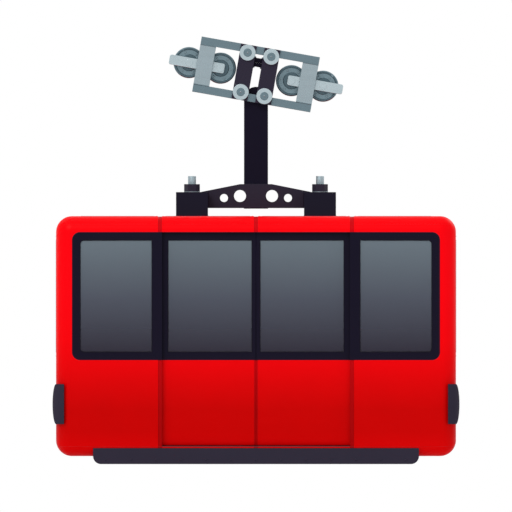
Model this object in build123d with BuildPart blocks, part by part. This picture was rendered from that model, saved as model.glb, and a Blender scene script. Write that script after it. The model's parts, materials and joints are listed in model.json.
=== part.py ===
from build123d import *
import os
from math import asin, cos, degrees, radians, sin, sqrt, tan

# Cable car cabin, in millimetres. X runs along the ropes seen from above, Y into the cabin's
# depth, Z up. The origin is on the track rope's centre line, above the middle of the cabin.
os.makedirs("parts", exist_ok=True)

# Ropes that the carriage fits, with their slope down towards +X
rope_slope = 10.0
track_rope_radius = 30.0
haul_rope_radius = 20.0
rope_to_axle = 120.0

# Gaps
running_fit = 0.05
moving_gap = 6.0
frame_gap = 10.0

# Rope wheels
wheel_radius = 156.0
wheel_base = 320.0
wheel_core_half = 34.0
wheel_rim_face = 60.0
wheel_hub_face = 68.0
wheel_web_face = 50.0
wheel_hub_radius = 80.0
wheel_rim_inner = 132.0
wheel_step = 4.0
wheel_edge = 8.0
groove_ease = 2.0
groove_shoulder = 104.0
groove_flare = 6.0
axle_radius = 25.0
axle_cap_radius = 36.0
axle_cap_thick = 8.0

# Rocker beams
rocker_place = 520.0
cheek_thick = 26.0
cheek_height = 100.0
cheek_inner_end = 320.0
cheek_outer_end = 880.0
cheek_corner = 20.0
rocker_pin_radius = 25.0
pin_seat_depth = 30.0

# Carriage frame
frame_thick = 40.0
rail_half_length = 600.0
rail_inner = 200.0
rail_height = 80.0
upright_width = 160.0
boss_radius = 78.0
tie_radius = 30.0
link_thick = 25.0
link_width = 160.0
link_place = 120.0
link_pin_radius = 40.0
pin_ring_radius = 80.0
pin_ring_thick = 20.0
pin_proud = 5.0
clamp_half_length = 180.0
clamp_height = 90.0
clamp_split = 4.0

# Hanger
hanger_pin_radius = 28.0
rope_side_gap = 15.0
fork_web_drop = 80.0
arm_width = 240.0
arm_depth = 180.0
head_length = 240.0
head_taper = 80.0
foot_width = 180.0
foot_rise = 20.0
beam_thick = 40.0
beam_roof_gap = 80.0
beam_top_half = 160.0
beam_tip = 560.0
beam_hole_table = (
    # place along the beam, height above its underside, radius
    (160.0, 121.0, 60.0),
    (320.0, 101.0, 40.0),
)
mount_inner = 480.0
mount_length = 320.0
mount_height = 240.0
mount_base_half = 420.0
mount_top_half = 330.0
arch_half = 180.0
arch_height = 90.0
arch_corner = 60.0
stud_radius = 40.0
stud_spacing = 500.0
stud_proud = 80.0
nut_radius = 80.0
nut_height = 80.0

# Cabin
hanger_length = 1295.0
cabin_half_length = 2000.0
cabin_half_width = 1100.0
cabin_height = 2400.0
edge_radius = 160.0
side_radius = 2600.0
window_height = 1280.0
wall = 50.0
roof_depth = 80.0
floor_thick = 95.0
seam_width = 40.0
seam_depth = 4.0

# Window frames and glass
frame_bar = 80.0
band_corner = 80.0
pane_corner = 40.0
glass_thick = 10.0
glass_inset = 8.0

# Doors
door_half = 960.0
leaf_thick = 40.0
leaf_nose_gap = 3.0
leaf_overlap = 10.0
leaf_nose_depth = 6.0
leaf_rise = 12.0
leaf_stile = 40.0
header_width = 90.0
header_lap = 5.0
track_width = 60.0
track_wall = 12.0
track_slot = 34.0
hanger_plate = 12.0
hanger_plate_width = 120.0
roller_radius = 20.0
roller_thick = 16.0
hanger_plate_places = (240.0, 750.0)
sill_width = 118.0
sill_thick = 5.0
sill_margin = 10.0
sill_lip = 10.0

# Underside, bumpers and inside
skid_half_length = 1630.0
skid_side_margin = 150.0
skid_height = 160.0
skid_lap = 80.0
skid_corner = 80.0
skid_wall = 100.0
skid_bar_width = 80.0
skid_bar_recess = 20.0
skid_bars = (-900.0, 0.0, 900.0)
bumper_height = 400.0
bumper_rise = 320.0
bumper_proud = 35.0
bumper_wrap = 80.0
mat_thick = 6.0
bench_depth = 400.0
bench_height = 450.0
bench_half_width = 780.0
bench_seat_thick = 45.0
bench_back_thick = 30.0
bench_back_height = 360.0
bench_leg_inset = 120.0
pole_radius = 17.0
pole_gap = 83.0
pole_spacing = 1000.0
mat_gap = 2.0
rail_drop = 150.0

# Layers of the carriage, measured from its middle plane
cheek_in = wheel_hub_face + moving_gap
cheek_out = cheek_in + cheek_thick
frame_in = cheek_out + frame_gap
frame_out = frame_in + frame_thick
link_out = frame_out + link_thick
ring_out = link_out + pin_ring_thick
pin_out = ring_out + pin_proud
fork_in = track_rope_radius + rope_side_gap
fork_out = frame_in - frame_gap

# Heights
slope = radians(rope_slope)
rail_mid = rail_inner + rail_height / 2
rail_outer = rail_inner + rail_height
carriage_z = rope_to_axle / cos(slope)
pivot_z = carriage_z - rail_mid / cos(slope)
pivot_along = rail_mid * tan(slope)
roof_z = -hanger_length
mount_z = roof_z + mount_height
nut_z = mount_z + nut_height
stud_z = nut_z + stud_proud
beam_low_z = roof_z + beam_roof_gap
beam_top_z = nut_z
roof_seam_z = roof_z - roof_depth
window_z = roof_z - edge_radius
belt_z = window_z - window_height
cabin_z = roof_z - cabin_height
floor_z = cabin_z + floor_thick
skid_top_z = cabin_z + skid_lap
skid_z = skid_top_z - skid_height
bumper_z = cabin_z + bumper_rise
leaf_z = floor_z + leaf_rise
sill_lip_z = leaf_z + moving_gap
side_lean = asin((belt_z - cabin_z - edge_radius) / (side_radius - edge_radius))

# Places along and across the cabin
band_end = cabin_half_length - edge_radius
end_header_half = cabin_half_width - edge_radius - band_corner
skid_half_width = cabin_half_width - skid_side_margin
jamb_in = door_half - seam_width / 2
jamb_out = door_half + seam_width / 2
leaf_out = wall + moving_gap
leaf_in = leaf_out + leaf_thick
leaf_end = jamb_out + leaf_overlap
header_y = cabin_half_width - leaf_in - moving_gap
track_y = header_y - track_wall - track_width / 2
header_z = window_z + header_lap
track_z = header_z + track_wall
roller_z = track_z + moving_gap + roller_radius
track_top_z = roller_z + roller_radius + moving_gap
shelf_z = header_z - moving_gap - hanger_plate
sill_centre_y = cabin_half_width - side_radius + (side_radius - edge_radius) * cos(side_lean)
floor_edge = sill_centre_y + sqrt(edge_radius**2 - (cabin_z + edge_radius - floor_z) ** 2)
sill_out = floor_edge - sill_margin
sill_in = sill_out - sill_width
bench_front = cabin_half_length - wall - bench_depth
bench_leg = bench_front + bench_leg_inset
bench_back = cabin_half_length - wall - bench_back_thick
pole_place = bench_front - pole_gap - pole_radius
seat_z = floor_z + bench_height
ceiling_z = roof_z - wall
rail_z = ceiling_z - rail_drop

# Planes of the carriage: its side view, and its section across the ropes
along_ropes = Vector(cos(slope), 0, -sin(slope))
carriage = Plane(origin=(0, 0, carriage_z), x_dir=along_ropes, z_dir=(0, -1, 0))
across = Plane(origin=(0, 0, carriage_z), x_dir=(0, 1, 0), z_dir=along_ropes)


def save(piece, name):
    """Label a finished piece and write it out."""
    piece.part.label = name
    export_step(piece.part, f"parts/{name}.step")


def keep_between(low, high):
    """Keep only what lies between two corners of the piece being built."""
    with Locations(tuple((a + b) / 2 for a, b in zip(low, high))):
        Box(*[b - a for a, b in zip(low, high)], mode=Mode.INTERSECT)


def span(low, high, bottom, top, mode=Mode.ADD):
    """Draw a rectangle between two places and two heights of the sketch."""
    with Locations(((low + high) / 2, (bottom + top) / 2)):
        return Rectangle(high - low, top - bottom, mode=mode)


def section_line(inset):
    """Draw the cabin's cross-section, drawn in by inset on every side."""
    top = Line((0, roof_z - inset), (cabin_half_width - edge_radius, roof_z - inset))
    cant = JernArc(top @ 1, (1, 0), edge_radius - inset, -90)
    upper = Line(cant @ 1, (cabin_half_width - inset, belt_z))
    lower = JernArc(upper @ 1, (0, -1), side_radius - inset, -degrees(side_lean))
    sill = JernArc(lower @ 1, lower % 1, edge_radius - inset, degrees(side_lean) - 90)
    Line(sill @ 1, (0, cabin_z + inset))
    mirror(about=Plane.YZ)


def cabin_form(inset):
    """The cabin's rounded form, drawn in by inset on every side."""
    with BuildPart() as form:
        with BuildSketch(Plane.YZ):
            with BuildLine():
                section_line(inset)
            make_face()
        extrude(amount=cabin_half_length - inset, both=True)
        along = form.faces().sort_by(Axis.X)
        fillet(along[0].edges() + along[-1].edges(), radius=edge_radius - inset)
    return form.part


def section_bar(outer, inner, low_x, high_x):
    """A length of wall between two insets of the cabin's section."""
    with BuildPart() as bar:
        for inset, mode in ((outer, Mode.ADD), (inner, Mode.SUBTRACT)):
            with BuildSketch(Plane.YZ.offset(low_x)):
                with BuildLine():
                    section_line(inset)
                make_face()
            extrude(amount=high_x - low_x, mode=mode)
    return bar.part


outer_form = cabin_form(0)
inner_form = cabin_form(wall)
beyond = 2 * cabin_half_length

# Rope wheels: two flanged half wheels round a grooved core, in each rocker
groove_root = rope_to_axle - track_rope_radius
groove_radius = track_rope_radius + groove_ease
groove_chord = sqrt(groove_radius**2 - (groove_root + groove_radius - groove_shoulder) ** 2)
wheel_bore = axle_radius + running_fit
half_wheel_outline = (
    (wheel_core_half, wheel_bore),
    (wheel_hub_face, wheel_bore),
    (wheel_hub_face, wheel_hub_radius),
    (wheel_web_face, wheel_hub_radius + wheel_step),
    (wheel_web_face, wheel_rim_inner - wheel_step),
    (wheel_rim_face, wheel_rim_inner),
    (wheel_rim_face, wheel_radius - wheel_edge),
    (wheel_rim_face - wheel_edge, wheel_radius),
    (wheel_core_half + groove_flare, wheel_radius),
    (wheel_core_half, groove_shoulder),
)

for side, side_name in ((-1, "left"), (1, "right")):
    for reach, reach_name in ((-1, "inner"), (1, "outer")):
        centre = carriage.from_local_coords((side * (rocker_place + reach * wheel_base / 2), 0, 0))
        turning = Plane(origin=centre, x_dir=(0, 1, 0), z_dir=(1, 0, 0))
        axle_line = Axis(centre, (0, 1, 0))

        with BuildPart() as wheel_core:
            with BuildSketch(turning):
                with BuildLine():
                    groove = ThreePointArc(
                        (-groove_chord, groove_shoulder), (0, groove_root), (groove_chord, groove_shoulder)
                    )
                    Polyline(
                        groove @ 1,
                        (wheel_core_half, groove_shoulder),
                        (wheel_core_half, wheel_bore),
                        (-wheel_core_half, wheel_bore),
                        (-wheel_core_half, groove_shoulder),
                        groove @ 0,
                    )
                make_face()
            revolve(axis=axle_line)
        save(wheel_core, f"wheel_{side_name}_{reach_name}_core")

        with BuildPart() as wheel_halves:
            with BuildSketch(turning):
                with BuildLine():
                    Polyline(*half_wheel_outline, close=True)
                make_face()
            revolve(axis=axle_line)
            mirror(about=Plane.XZ)
        save(wheel_halves, f"wheel_{side_name}_{reach_name}_flanges")

    # Rocker beams on both sides of the wheels, with the wheels' axles
    axle_places = [(side * (rocker_place + reach * wheel_base / 2), 0) for reach in (-1, 1)]
    with BuildPart() as rocker_beams:
        with BuildSketch(carriage.offset(cheek_in)) as cheek:
            with Locations((side * (cheek_inner_end + cheek_outer_end) / 2, 0)):
                Rectangle(cheek_outer_end - cheek_inner_end, cheek_height)
            fillet(cheek.vertices(), cheek_corner)
            with Locations(*axle_places):
                Circle(axle_radius, mode=Mode.SUBTRACT)
            with Locations((side * rocker_place, 0)):
                Circle(rocker_pin_radius + running_fit, mode=Mode.SUBTRACT)
        extrude(amount=cheek_thick)
        mirror(about=Plane.XZ)
    save(rocker_beams, f"rocker_{side_name}_beams")

    with BuildPart() as axles:
        with BuildSketch(carriage):
            with Locations(*axle_places):
                Circle(axle_radius)
        extrude(amount=cheek_out, both=True)
        with BuildSketch(carriage.offset(cheek_out)):
            with Locations(*axle_places):
                Circle(axle_cap_radius)
        extrude(amount=axle_cap_thick)
        with BuildSketch(carriage.offset(-cheek_out)):
            with Locations(*axle_places):
                Circle(axle_cap_radius)
        extrude(amount=-axle_cap_thick)
    save(axles, f"rocker_{side_name}_axles")

# Carriage frame: rails, uprights, link plates, pins and ties on both sides of the ropes
with BuildPart() as carriage_rails:
    for level in (-1, 1):
        with BuildSketch(carriage.offset(frame_in)):
            with Locations((0, level * rail_mid)):
                Rectangle(2 * rail_half_length, rail_height)
            with Locations((-link_place, level * rail_inner), (link_place, level * rail_inner)):
                Circle(boss_radius)
                Circle(link_pin_radius, mode=Mode.SUBTRACT)
        extrude(amount=frame_thick)
    with BuildSketch(carriage.offset(frame_in)):
        with Locations((pivot_along, -rail_mid)):
            Circle(hanger_pin_radius)
    extrude(amount=pin_seat_depth, mode=Mode.SUBTRACT)
    mirror(about=Plane.XZ)
save(carriage_rails, "carriage_rails")

upright_places = [(side * rocker_place, 0) for side in (-1, 1)]
with BuildPart() as carriage_uprights:
    with BuildSketch(carriage.offset(frame_in)):
        with Locations(*upright_places):
            Rectangle(upright_width, 2 * rail_inner)
    extrude(amount=frame_thick)
    with BuildSketch(carriage.offset(frame_in)):
        with Locations(*upright_places):
            Circle(rocker_pin_radius)
    extrude(amount=pin_seat_depth, mode=Mode.SUBTRACT)
    mirror(about=Plane.XZ)
save(carriage_uprights, "carriage_uprights")

with BuildPart() as rocker_pins:
    with BuildSketch(carriage.offset(cheek_in)):
        with Locations(*upright_places):
            Circle(rocker_pin_radius)
    extrude(amount=frame_in + pin_seat_depth - cheek_in)
    mirror(about=Plane.XZ)
save(rocker_pins, "rocker_pins")

link_pin_places = [(u, w) for u in (-link_place, link_place) for w in (-rail_inner, rail_inner)]
with BuildPart() as carriage_links:
    with BuildSketch(carriage.offset(frame_out)):
        with Locations((-link_place, 0), (link_place, 0)):
            Rectangle(link_width, 2 * rail_outer)
        with Locations(*link_pin_places):
            Circle(link_pin_radius, mode=Mode.SUBTRACT)
    extrude(amount=link_thick)
    mirror(about=Plane.XZ)
save(carriage_links, "carriage_links")

with BuildPart() as link_pins:
    with BuildSketch(carriage.offset(frame_in)):
        with Locations(*link_pin_places):
            Circle(link_pin_radius)
    extrude(amount=pin_out - frame_in)
    mirror(about=Plane.XZ)
save(link_pins, "link_pins")

with BuildPart() as link_pin_rings:
    with BuildSketch(carriage.offset(link_out)):
        with Locations(*link_pin_places):
            Circle(pin_ring_radius)
            Circle(link_pin_radius, mode=Mode.SUBTRACT)
    extrude(amount=pin_ring_thick)
    mirror(about=Plane.XZ)
save(link_pin_rings, "link_pin_rings")

with BuildPart() as carriage_ties:
    with BuildSketch(carriage):
        with Locations(*[(s * rocker_place, t * rail_mid) for s in (-1, 1) for t in (-1, 1)]):
            Circle(tie_radius)
    extrude(amount=frame_in, both=True)
save(carriage_ties, "carriage_ties")

with BuildPart() as rope_clamp:
    with BuildSketch(across):
        with Locations((0, rope_to_axle)):
            Rectangle(2 * frame_in, clamp_height)
            Rectangle(2 * frame_in, clamp_split, mode=Mode.SUBTRACT)
            Circle(haul_rope_radius, mode=Mode.SUBTRACT)
    extrude(amount=clamp_half_length, both=True)
save(rope_clamp, "rope_clamp")

with BuildPart() as hanger_pin:
    with BuildSketch(Plane.XZ):
        with Locations((0, pivot_z)):
            Circle(hanger_pin_radius)
    extrude(amount=frame_in + pin_seat_depth, both=True)
save(hanger_pin, "hanger_pin")

# Hanger: a forked head on the pin, the arm, and a foot between the cross beams
head_z = pivot_z - head_length
with BuildPart() as hanger_arm:
    with BuildSketch(Plane.XZ):
        with Locations((0, pivot_z)):
            Circle(arm_width / 2)
        span(-arm_width / 2, arm_width / 2, beam_top_z, pivot_z)
        span(-foot_width / 2, foot_width / 2, beam_low_z + foot_rise, beam_top_z)
        with Locations((0, pivot_z)):
            Circle(hanger_pin_radius + running_fit, mode=Mode.SUBTRACT)
    extrude(amount=fork_out, both=True)
    with BuildSketch(Plane.YZ):
        with BuildLine():
            Polyline(
                (0, pivot_z + arm_width),
                (fork_out, pivot_z + arm_width),
                (fork_out, head_z),
                (arm_depth / 2, head_z - head_taper),
                (arm_depth / 2, beam_low_z),
                (0, beam_low_z),
            )
            mirror(about=Plane.YZ)
        make_face()
    extrude(amount=arm_width, both=True, mode=Mode.INTERSECT)
    with BuildSketch(Plane.YZ):
        span(-fork_in, fork_in, pivot_z - fork_web_drop, pivot_z + arm_width)
    extrude(amount=arm_width, both=True, mode=Mode.SUBTRACT)
save(hanger_arm, "hanger_arm")

with BuildPart() as hanger_beams:
    with BuildSketch(Plane.XZ.offset(arm_depth / 2)):
        with BuildLine():
            Polyline(
                (0, beam_top_z),
                (beam_top_half, beam_top_z),
                (beam_tip, mount_z),
                (mount_inner, mount_z),
                (mount_inner, beam_low_z),
                (0, beam_low_z),
            )
            mirror(about=Plane.YZ)
        make_face()
        for place, rise, radius in beam_hole_table:
            with Locations((-place, beam_low_z + rise), (place, beam_low_z + rise)):
                Circle(radius, mode=Mode.SUBTRACT)
    extrude(amount=beam_thick)
    mirror(about=Plane.XZ)
save(hanger_beams, "hanger_beams")

stud_place = mount_inner + mount_length / 2
stud_places = [(s * stud_place, t * stud_spacing / 2) for s in (-1, 1) for t in (-1, 1)]
with BuildPart() as roof_mounts:
    with BuildSketch(Plane.YZ.offset(mount_inner)):
        with BuildLine():
            Polyline(
                (-mount_base_half, roof_z),
                (-mount_top_half, mount_z),
                (mount_top_half, mount_z),
                (mount_base_half, roof_z),
                close=True,
            )
        make_face()
    extrude(amount=mount_length)
    with BuildSketch(Plane.YZ.offset(mount_inner)):
        arch = span(-arch_half, arch_half, roof_z - arch_height, roof_z + arch_height)
        fillet(arch.vertices(), arch_corner)
    extrude(amount=mount_length, mode=Mode.SUBTRACT)
    mirror(about=Plane.YZ)
    with BuildSketch(Plane.XY.offset(roof_z)):
        with Locations(*stud_places):
            Circle(stud_radius)
    extrude(amount=mount_height, mode=Mode.SUBTRACT)
save(roof_mounts, "roof_mounts")

with BuildPart() as roof_studs:
    with BuildSketch(Plane.XY.offset(roof_z)):
        with Locations(*stud_places):
            Circle(stud_radius)
    extrude(amount=stud_z - roof_z)
save(roof_studs, "roof_studs")

with BuildPart() as roof_nuts:
    with BuildSketch(Plane.XY.offset(mount_z)):
        with Locations(*stud_places):
            RegularPolygon(nut_radius, 6)
            Circle(stud_radius, mode=Mode.SUBTRACT)
    extrude(amount=nut_height)
save(roof_nuts, "roof_nuts")

# Cabin shell: roof panels, two ends with their headers, floor pan, and the doors' lintels and jambs
with BuildPart() as grooved_shell:
    add(outer_form)
    add(inner_form, mode=Mode.SUBTRACT)
    for place in (-door_half, 0, door_half):
        add(section_bar(0, seam_depth, place - seam_width / 2, place + seam_width / 2), mode=Mode.SUBTRACT)

roof_panel_table = (
    # name, from and to along the cabin
    ("roof_left", -beyond, -door_half),
    ("roof_middle", -door_half, door_half),
    ("roof_right", door_half, beyond),
)
for panel_name, low_x, high_x in roof_panel_table:
    with BuildPart() as roof_panel:
        add(grooved_shell.part)
        keep_between((low_x, -beyond, roof_seam_z), (high_x, beyond, roof_z + wall))
    save(roof_panel, panel_name)

with BuildPart() as door_lintels:
    add(grooved_shell.part)
    keep_between((-jamb_out, -beyond, window_z), (jamb_out, beyond, roof_seam_z))
save(door_lintels, "door_lintels")


def side_band(inset, corner):
    """Draw one side window's outline, taken in by inset from the dark band's edge."""
    low = jamb_in if inset == 0 else door_half + inset
    panel = span(low, band_end - inset, belt_z + inset, window_z - inset)
    fillet(panel.vertices().group_by(Axis.X)[-1], corner)


def end_band(inset, corner):
    """Draw the end window's outline, taken in by inset from the dark band's edge."""
    half = cabin_half_width - edge_radius - inset
    panel = span(-half, half, belt_z + inset, window_z - inset)
    fillet(panel.vertices(), corner)


def end_panes():
    """Draw the two panes of an end window, without the bar between them."""
    end_band(frame_bar, pane_corner)
    span(-frame_bar / 2, frame_bar / 2, belt_z, window_z, Mode.SUBTRACT)


with BuildPart() as end_right:
    add(outer_form)
    add(inner_form, mode=Mode.SUBTRACT)
    keep_between((jamb_out, -beyond, floor_z), (beyond, beyond, roof_seam_z))
    with BuildSketch(Plane.XZ):
        side_band(0, band_corner)
    extrude(amount=beyond, both=True, mode=Mode.SUBTRACT)
    with BuildSketch(Plane.YZ.offset(band_end)):
        end_band(0, band_corner)
        span(-end_header_half, end_header_half, window_z, roof_seam_z)
    extrude(amount=beyond, mode=Mode.SUBTRACT)
with BuildPart() as end_left:
    mirror(end_right.part, about=Plane.YZ)
save(end_right, "end_right")
save(end_left, "end_left")

with BuildPart() as end_headers:
    add(outer_form)
    add(inner_form, mode=Mode.SUBTRACT)
    keep_between((band_end, -end_header_half, window_z), (beyond, end_header_half, roof_seam_z))
    mirror(about=Plane.YZ)
save(end_headers, "end_headers")

with BuildPart() as door_jambs:
    add(section_bar(seam_depth, wall, jamb_in, jamb_out))
    keep_between((0, -beyond, floor_z), (beyond, beyond, belt_z))
    mirror(about=Plane.YZ)
save(door_jambs, "door_jambs")

with BuildPart() as floor_pan:
    add(outer_form)
    keep_between((-beyond, -beyond, cabin_z - wall), (beyond, beyond, floor_z))
save(floor_pan, "floor_pan")

# Window frames and fixed panes of the sides and ends
side_face = Plane.XZ.offset(cabin_half_width - wall)
end_face = Plane.YZ.offset(cabin_half_length - wall)
pane_seat = wall - glass_inset - glass_thick
with BuildPart() as window_frames:
    with BuildSketch(side_face):
        side_band(0, band_corner)
    with BuildSketch(end_face):
        end_band(0, band_corner)
    extrude(amount=wall)
    with BuildSketch(side_face):
        side_band(frame_bar, pane_corner)
    with BuildSketch(end_face):
        end_panes()
    extrude(amount=wall, mode=Mode.SUBTRACT)
    mirror(about=Plane.YZ)
    mirror(about=Plane.XZ)
save(window_frames, "window_frames")

with BuildPart() as window_glass:
    with BuildSketch(side_face.offset(pane_seat)):
        side_band(frame_bar, pane_corner)
    with BuildSketch(end_face.offset(pane_seat)):
        end_panes()
    extrude(amount=glass_thick)
    mirror(about=Plane.YZ)
    mirror(about=Plane.XZ)
save(window_glass, "window_glass")

# Door leaves: each has a curved lower panel, a window frame hung from the header, and glass
leaf_face = Plane.XZ.offset(cabin_half_width - leaf_in)
leaf_pane = (leaf_stile, door_half - frame_bar, belt_z + frame_bar, window_z - frame_bar)
with BuildPart() as leaf_panel:
    add(section_bar(leaf_out, leaf_in, leaf_nose_gap, leaf_end))
    add(section_bar(leaf_out, leaf_out + leaf_nose_depth, 0, seam_width / 2), mode=Mode.SUBTRACT)
    keep_between((0, -beyond, leaf_z), (beyond, 0, belt_z))

with BuildPart() as leaf_frame:
    with BuildSketch(leaf_face):
        span(leaf_nose_gap, leaf_end, belt_z, header_z)
        pane = span(*leaf_pane, Mode.SUBTRACT)
    extrude(amount=leaf_thick)
    for place in hanger_plate_places:
        with BuildSketch(Plane.YZ.offset(place - hanger_plate_width / 2)):
            span(-cabin_half_width + leaf_in, -track_y + hanger_plate / 2, shelf_z, shelf_z + hanger_plate)
            span(-track_y - hanger_plate / 2, -track_y + hanger_plate / 2, shelf_z, roller_z)
        extrude(amount=hanger_plate_width)
        with BuildSketch(Plane.XZ.offset(track_y)):
            with Locations((place, roller_z)):
                Circle(roller_radius)
        extrude(amount=roller_thick / 2, both=True)

with BuildPart() as leaf_glass:
    with BuildSketch(leaf_face.offset(leaf_thick - glass_inset - glass_thick)):
        span(*leaf_pane)
    extrude(amount=glass_thick)

for face_name, turn in (("front", 0), ("back", 180)):
    for mirrored in (False, True):
        side_name = "right" if mirrored == (turn == 180) else "left"
        for piece_name, piece in (("panel", leaf_panel), ("frame", leaf_frame), ("glass", leaf_glass)):
            shape = piece.part.mirror(Plane.YZ) if mirrored else piece.part
            with BuildPart() as leaf_piece:
                add(shape, rotation=(0, 0, turn))
            save(leaf_piece, f"door_{face_name}_{side_name}_{piece_name}")

with BuildPart() as door_headers:
    add(inner_form)
    keep_between((-band_end, -header_y, header_z), (band_end, header_width - header_y, ceiling_z))
    with BuildSketch(Plane.YZ.offset(-band_end)):
        span(-track_y - track_width / 2, -track_y + track_width / 2, track_z, track_top_z)
        span(-track_y - track_slot / 2, -track_y + track_slot / 2, header_z, track_z)
    extrude(amount=2 * band_end, mode=Mode.SUBTRACT)
    mirror(about=Plane.XZ)
save(door_headers, "door_headers")

with BuildPart() as door_sills:
    with BuildSketch(Plane.XY.offset(floor_z)):
        span(-jamb_in, jamb_in, sill_in, sill_out)
    extrude(amount=sill_thick)
    with BuildSketch(Plane.XY.offset(floor_z)):
        span(-jamb_in, jamb_in, sill_in, sill_in + sill_lip)
    extrude(amount=sill_lip_z - floor_z)
    mirror(about=Plane.XZ)
save(door_sills, "door_sills")

# Underside and bumpers
with BuildPart() as skid:
    with BuildSketch(Plane.XZ):
        tray = span(-skid_half_length, skid_half_length, skid_z, skid_top_z)
        fillet(tray.vertices().group_by(Axis.Y)[0], skid_corner)
    extrude(amount=skid_half_width, both=True)
    with BuildSketch(Plane.XY.offset(skid_z)):
        Rectangle(2 * (skid_half_length - skid_wall), 2 * (skid_half_width - skid_wall))
    extrude(amount=skid_height, mode=Mode.SUBTRACT)
    with BuildSketch(Plane.XY.offset(skid_z + skid_bar_recess)):
        for place in skid_bars:
            with Locations((place, 0)):
                Rectangle(skid_bar_width, 2 * skid_half_width - skid_wall)
    extrude(amount=cabin_z - skid_z - skid_bar_recess)
    add(outer_form, mode=Mode.SUBTRACT)
save(skid, "skid")

with BuildPart() as bumpers:
    add(cabin_form(-bumper_proud))
    with BuildSketch(Plane.XZ):
        span(cabin_half_length - bumper_wrap, cabin_half_length, bumper_z, bumper_z + bumper_height)
        with Locations((cabin_half_length, bumper_z + bumper_height / 2)):
            Ellipse(bumper_proud, bumper_height / 2)
    extrude(amount=beyond, both=True, mode=Mode.INTERSECT)
    add(outer_form, mode=Mode.SUBTRACT)
    mirror(about=Plane.YZ)
save(bumpers, "bumpers")

# Inside: floor mat, benches at both ends, grab poles and the rails between them
with BuildPart() as floor_mat:
    with BuildSketch(Plane.XY.offset(floor_z)):
        Rectangle(2 * bench_leg, 2 * (sill_in - mat_gap))
    extrude(amount=mat_thick)
save(floor_mat, "floor_mat")

with BuildPart() as benches:
    with BuildSketch(Plane.XZ):
        span(bench_leg, cabin_half_length, floor_z, seat_z - bench_seat_thick)
        span(bench_front, cabin_half_length, seat_z - bench_seat_thick, seat_z)
        span(bench_back, cabin_half_length, seat_z, seat_z + bench_back_height)
    extrude(amount=bench_half_width, both=True)
    add(inner_form, mode=Mode.INTERSECT)
    mirror(about=Plane.YZ)
save(benches, "benches")

with BuildPart() as grab_poles:
    with BuildSketch(Plane.XY.offset(floor_z + mat_thick)):
        with GridLocations(2 * pole_place, pole_spacing, 2, 2):
            Circle(pole_radius)
    extrude(amount=ceiling_z - floor_z - mat_thick)
save(grab_poles, "grab_poles")

with BuildPart() as grab_rails:
    with BuildSketch(Plane.YZ.offset(-pole_place)):
        with Locations((-pole_spacing / 2, rail_z), (pole_spacing / 2, rail_z)):
            Circle(pole_radius)
    extrude(amount=2 * pole_place)
    add(grab_poles.part, mode=Mode.SUBTRACT)
save(grab_rails, "grab_rails")
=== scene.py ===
"""Looks of a cable car cabin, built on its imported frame.

Each class stands for one assembly of the vehicle. It holds its sizes, softens the edges of its
solids, gives them their finish and adds the small fittings that the solids leave out. Lengths are
in metres, in the frame of the solids: X along the cabin, Y to its back, Z up, with the origin on
the fixed rope.
"""

from __future__ import annotations

import json
import logging
import math
from collections.abc import Callable, Iterable, Sequence
from dataclasses import dataclass, field, replace
from enum import Enum
from functools import cache

import bmesh
import bpy
from mathutils import Matrix, Vector

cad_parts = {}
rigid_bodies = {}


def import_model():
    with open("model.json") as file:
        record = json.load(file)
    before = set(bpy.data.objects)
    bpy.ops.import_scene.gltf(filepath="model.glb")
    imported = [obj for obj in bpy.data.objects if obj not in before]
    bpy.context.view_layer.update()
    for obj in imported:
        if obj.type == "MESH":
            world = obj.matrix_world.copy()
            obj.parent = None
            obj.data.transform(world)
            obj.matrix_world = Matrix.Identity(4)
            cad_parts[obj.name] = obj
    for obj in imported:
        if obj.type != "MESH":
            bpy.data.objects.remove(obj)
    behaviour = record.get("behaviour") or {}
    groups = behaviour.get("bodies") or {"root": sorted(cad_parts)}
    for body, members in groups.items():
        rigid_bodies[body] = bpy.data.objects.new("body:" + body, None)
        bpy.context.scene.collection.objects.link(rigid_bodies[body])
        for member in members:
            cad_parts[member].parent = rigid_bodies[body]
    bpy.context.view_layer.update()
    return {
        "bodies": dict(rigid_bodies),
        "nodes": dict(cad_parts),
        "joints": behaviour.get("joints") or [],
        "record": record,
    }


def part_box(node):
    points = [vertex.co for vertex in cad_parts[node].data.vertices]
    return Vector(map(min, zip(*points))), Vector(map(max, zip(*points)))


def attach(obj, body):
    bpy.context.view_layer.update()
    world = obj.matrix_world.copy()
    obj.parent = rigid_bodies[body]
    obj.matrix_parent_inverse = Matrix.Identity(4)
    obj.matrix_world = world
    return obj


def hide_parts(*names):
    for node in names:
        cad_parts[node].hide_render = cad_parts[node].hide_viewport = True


log = logging.getLogger("cable_car")

MERGE_DISTANCE = 1e-5
FLAT_ANGLE = math.radians(0.25)
SHARP_ANGLE = math.radians(32.0)
UP = Vector((0.0, 0.0, 1.0))
FRONT = Vector((0.0, -1.0, 0.0))
SIDEWAYS = Vector((1.0, 0.0, 0.0))
BOTH_SIDES = (-1.0, 1.0)
WHEEL_PLACES = {"inner": 0.36, "outer": 0.68}
CORNERS = [(end, side) for end in BOTH_SIDES for side in BOTH_SIDES]
Socket = bpy.types.NodeSocket
Form = bmesh.types.BMesh
Face = bmesh.types.BMFace
FaceTest = Callable[[Face], bool]
Profile = tuple[tuple[float, float], ...]


class Slot(Enum):
    """The record's material slots."""

    RED = "red_paint"
    TRIM = "window_trim"
    GLASS = "tinted_glass"
    BLACK = "black_paint"
    CHARCOAL = "charcoal_paint"
    RUBBER = "bumper_rubber"
    FRAME = "frame_steel"
    LIGHT = "light_steel"
    BRIGHT = "bright_steel"
    PIN = "pin_steel"
    FLOOR = "floor_rubber"
    BENCH = "bench_shell"
    TUBE = "rail_steel"
    ALLOY = "track_alloy"


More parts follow.
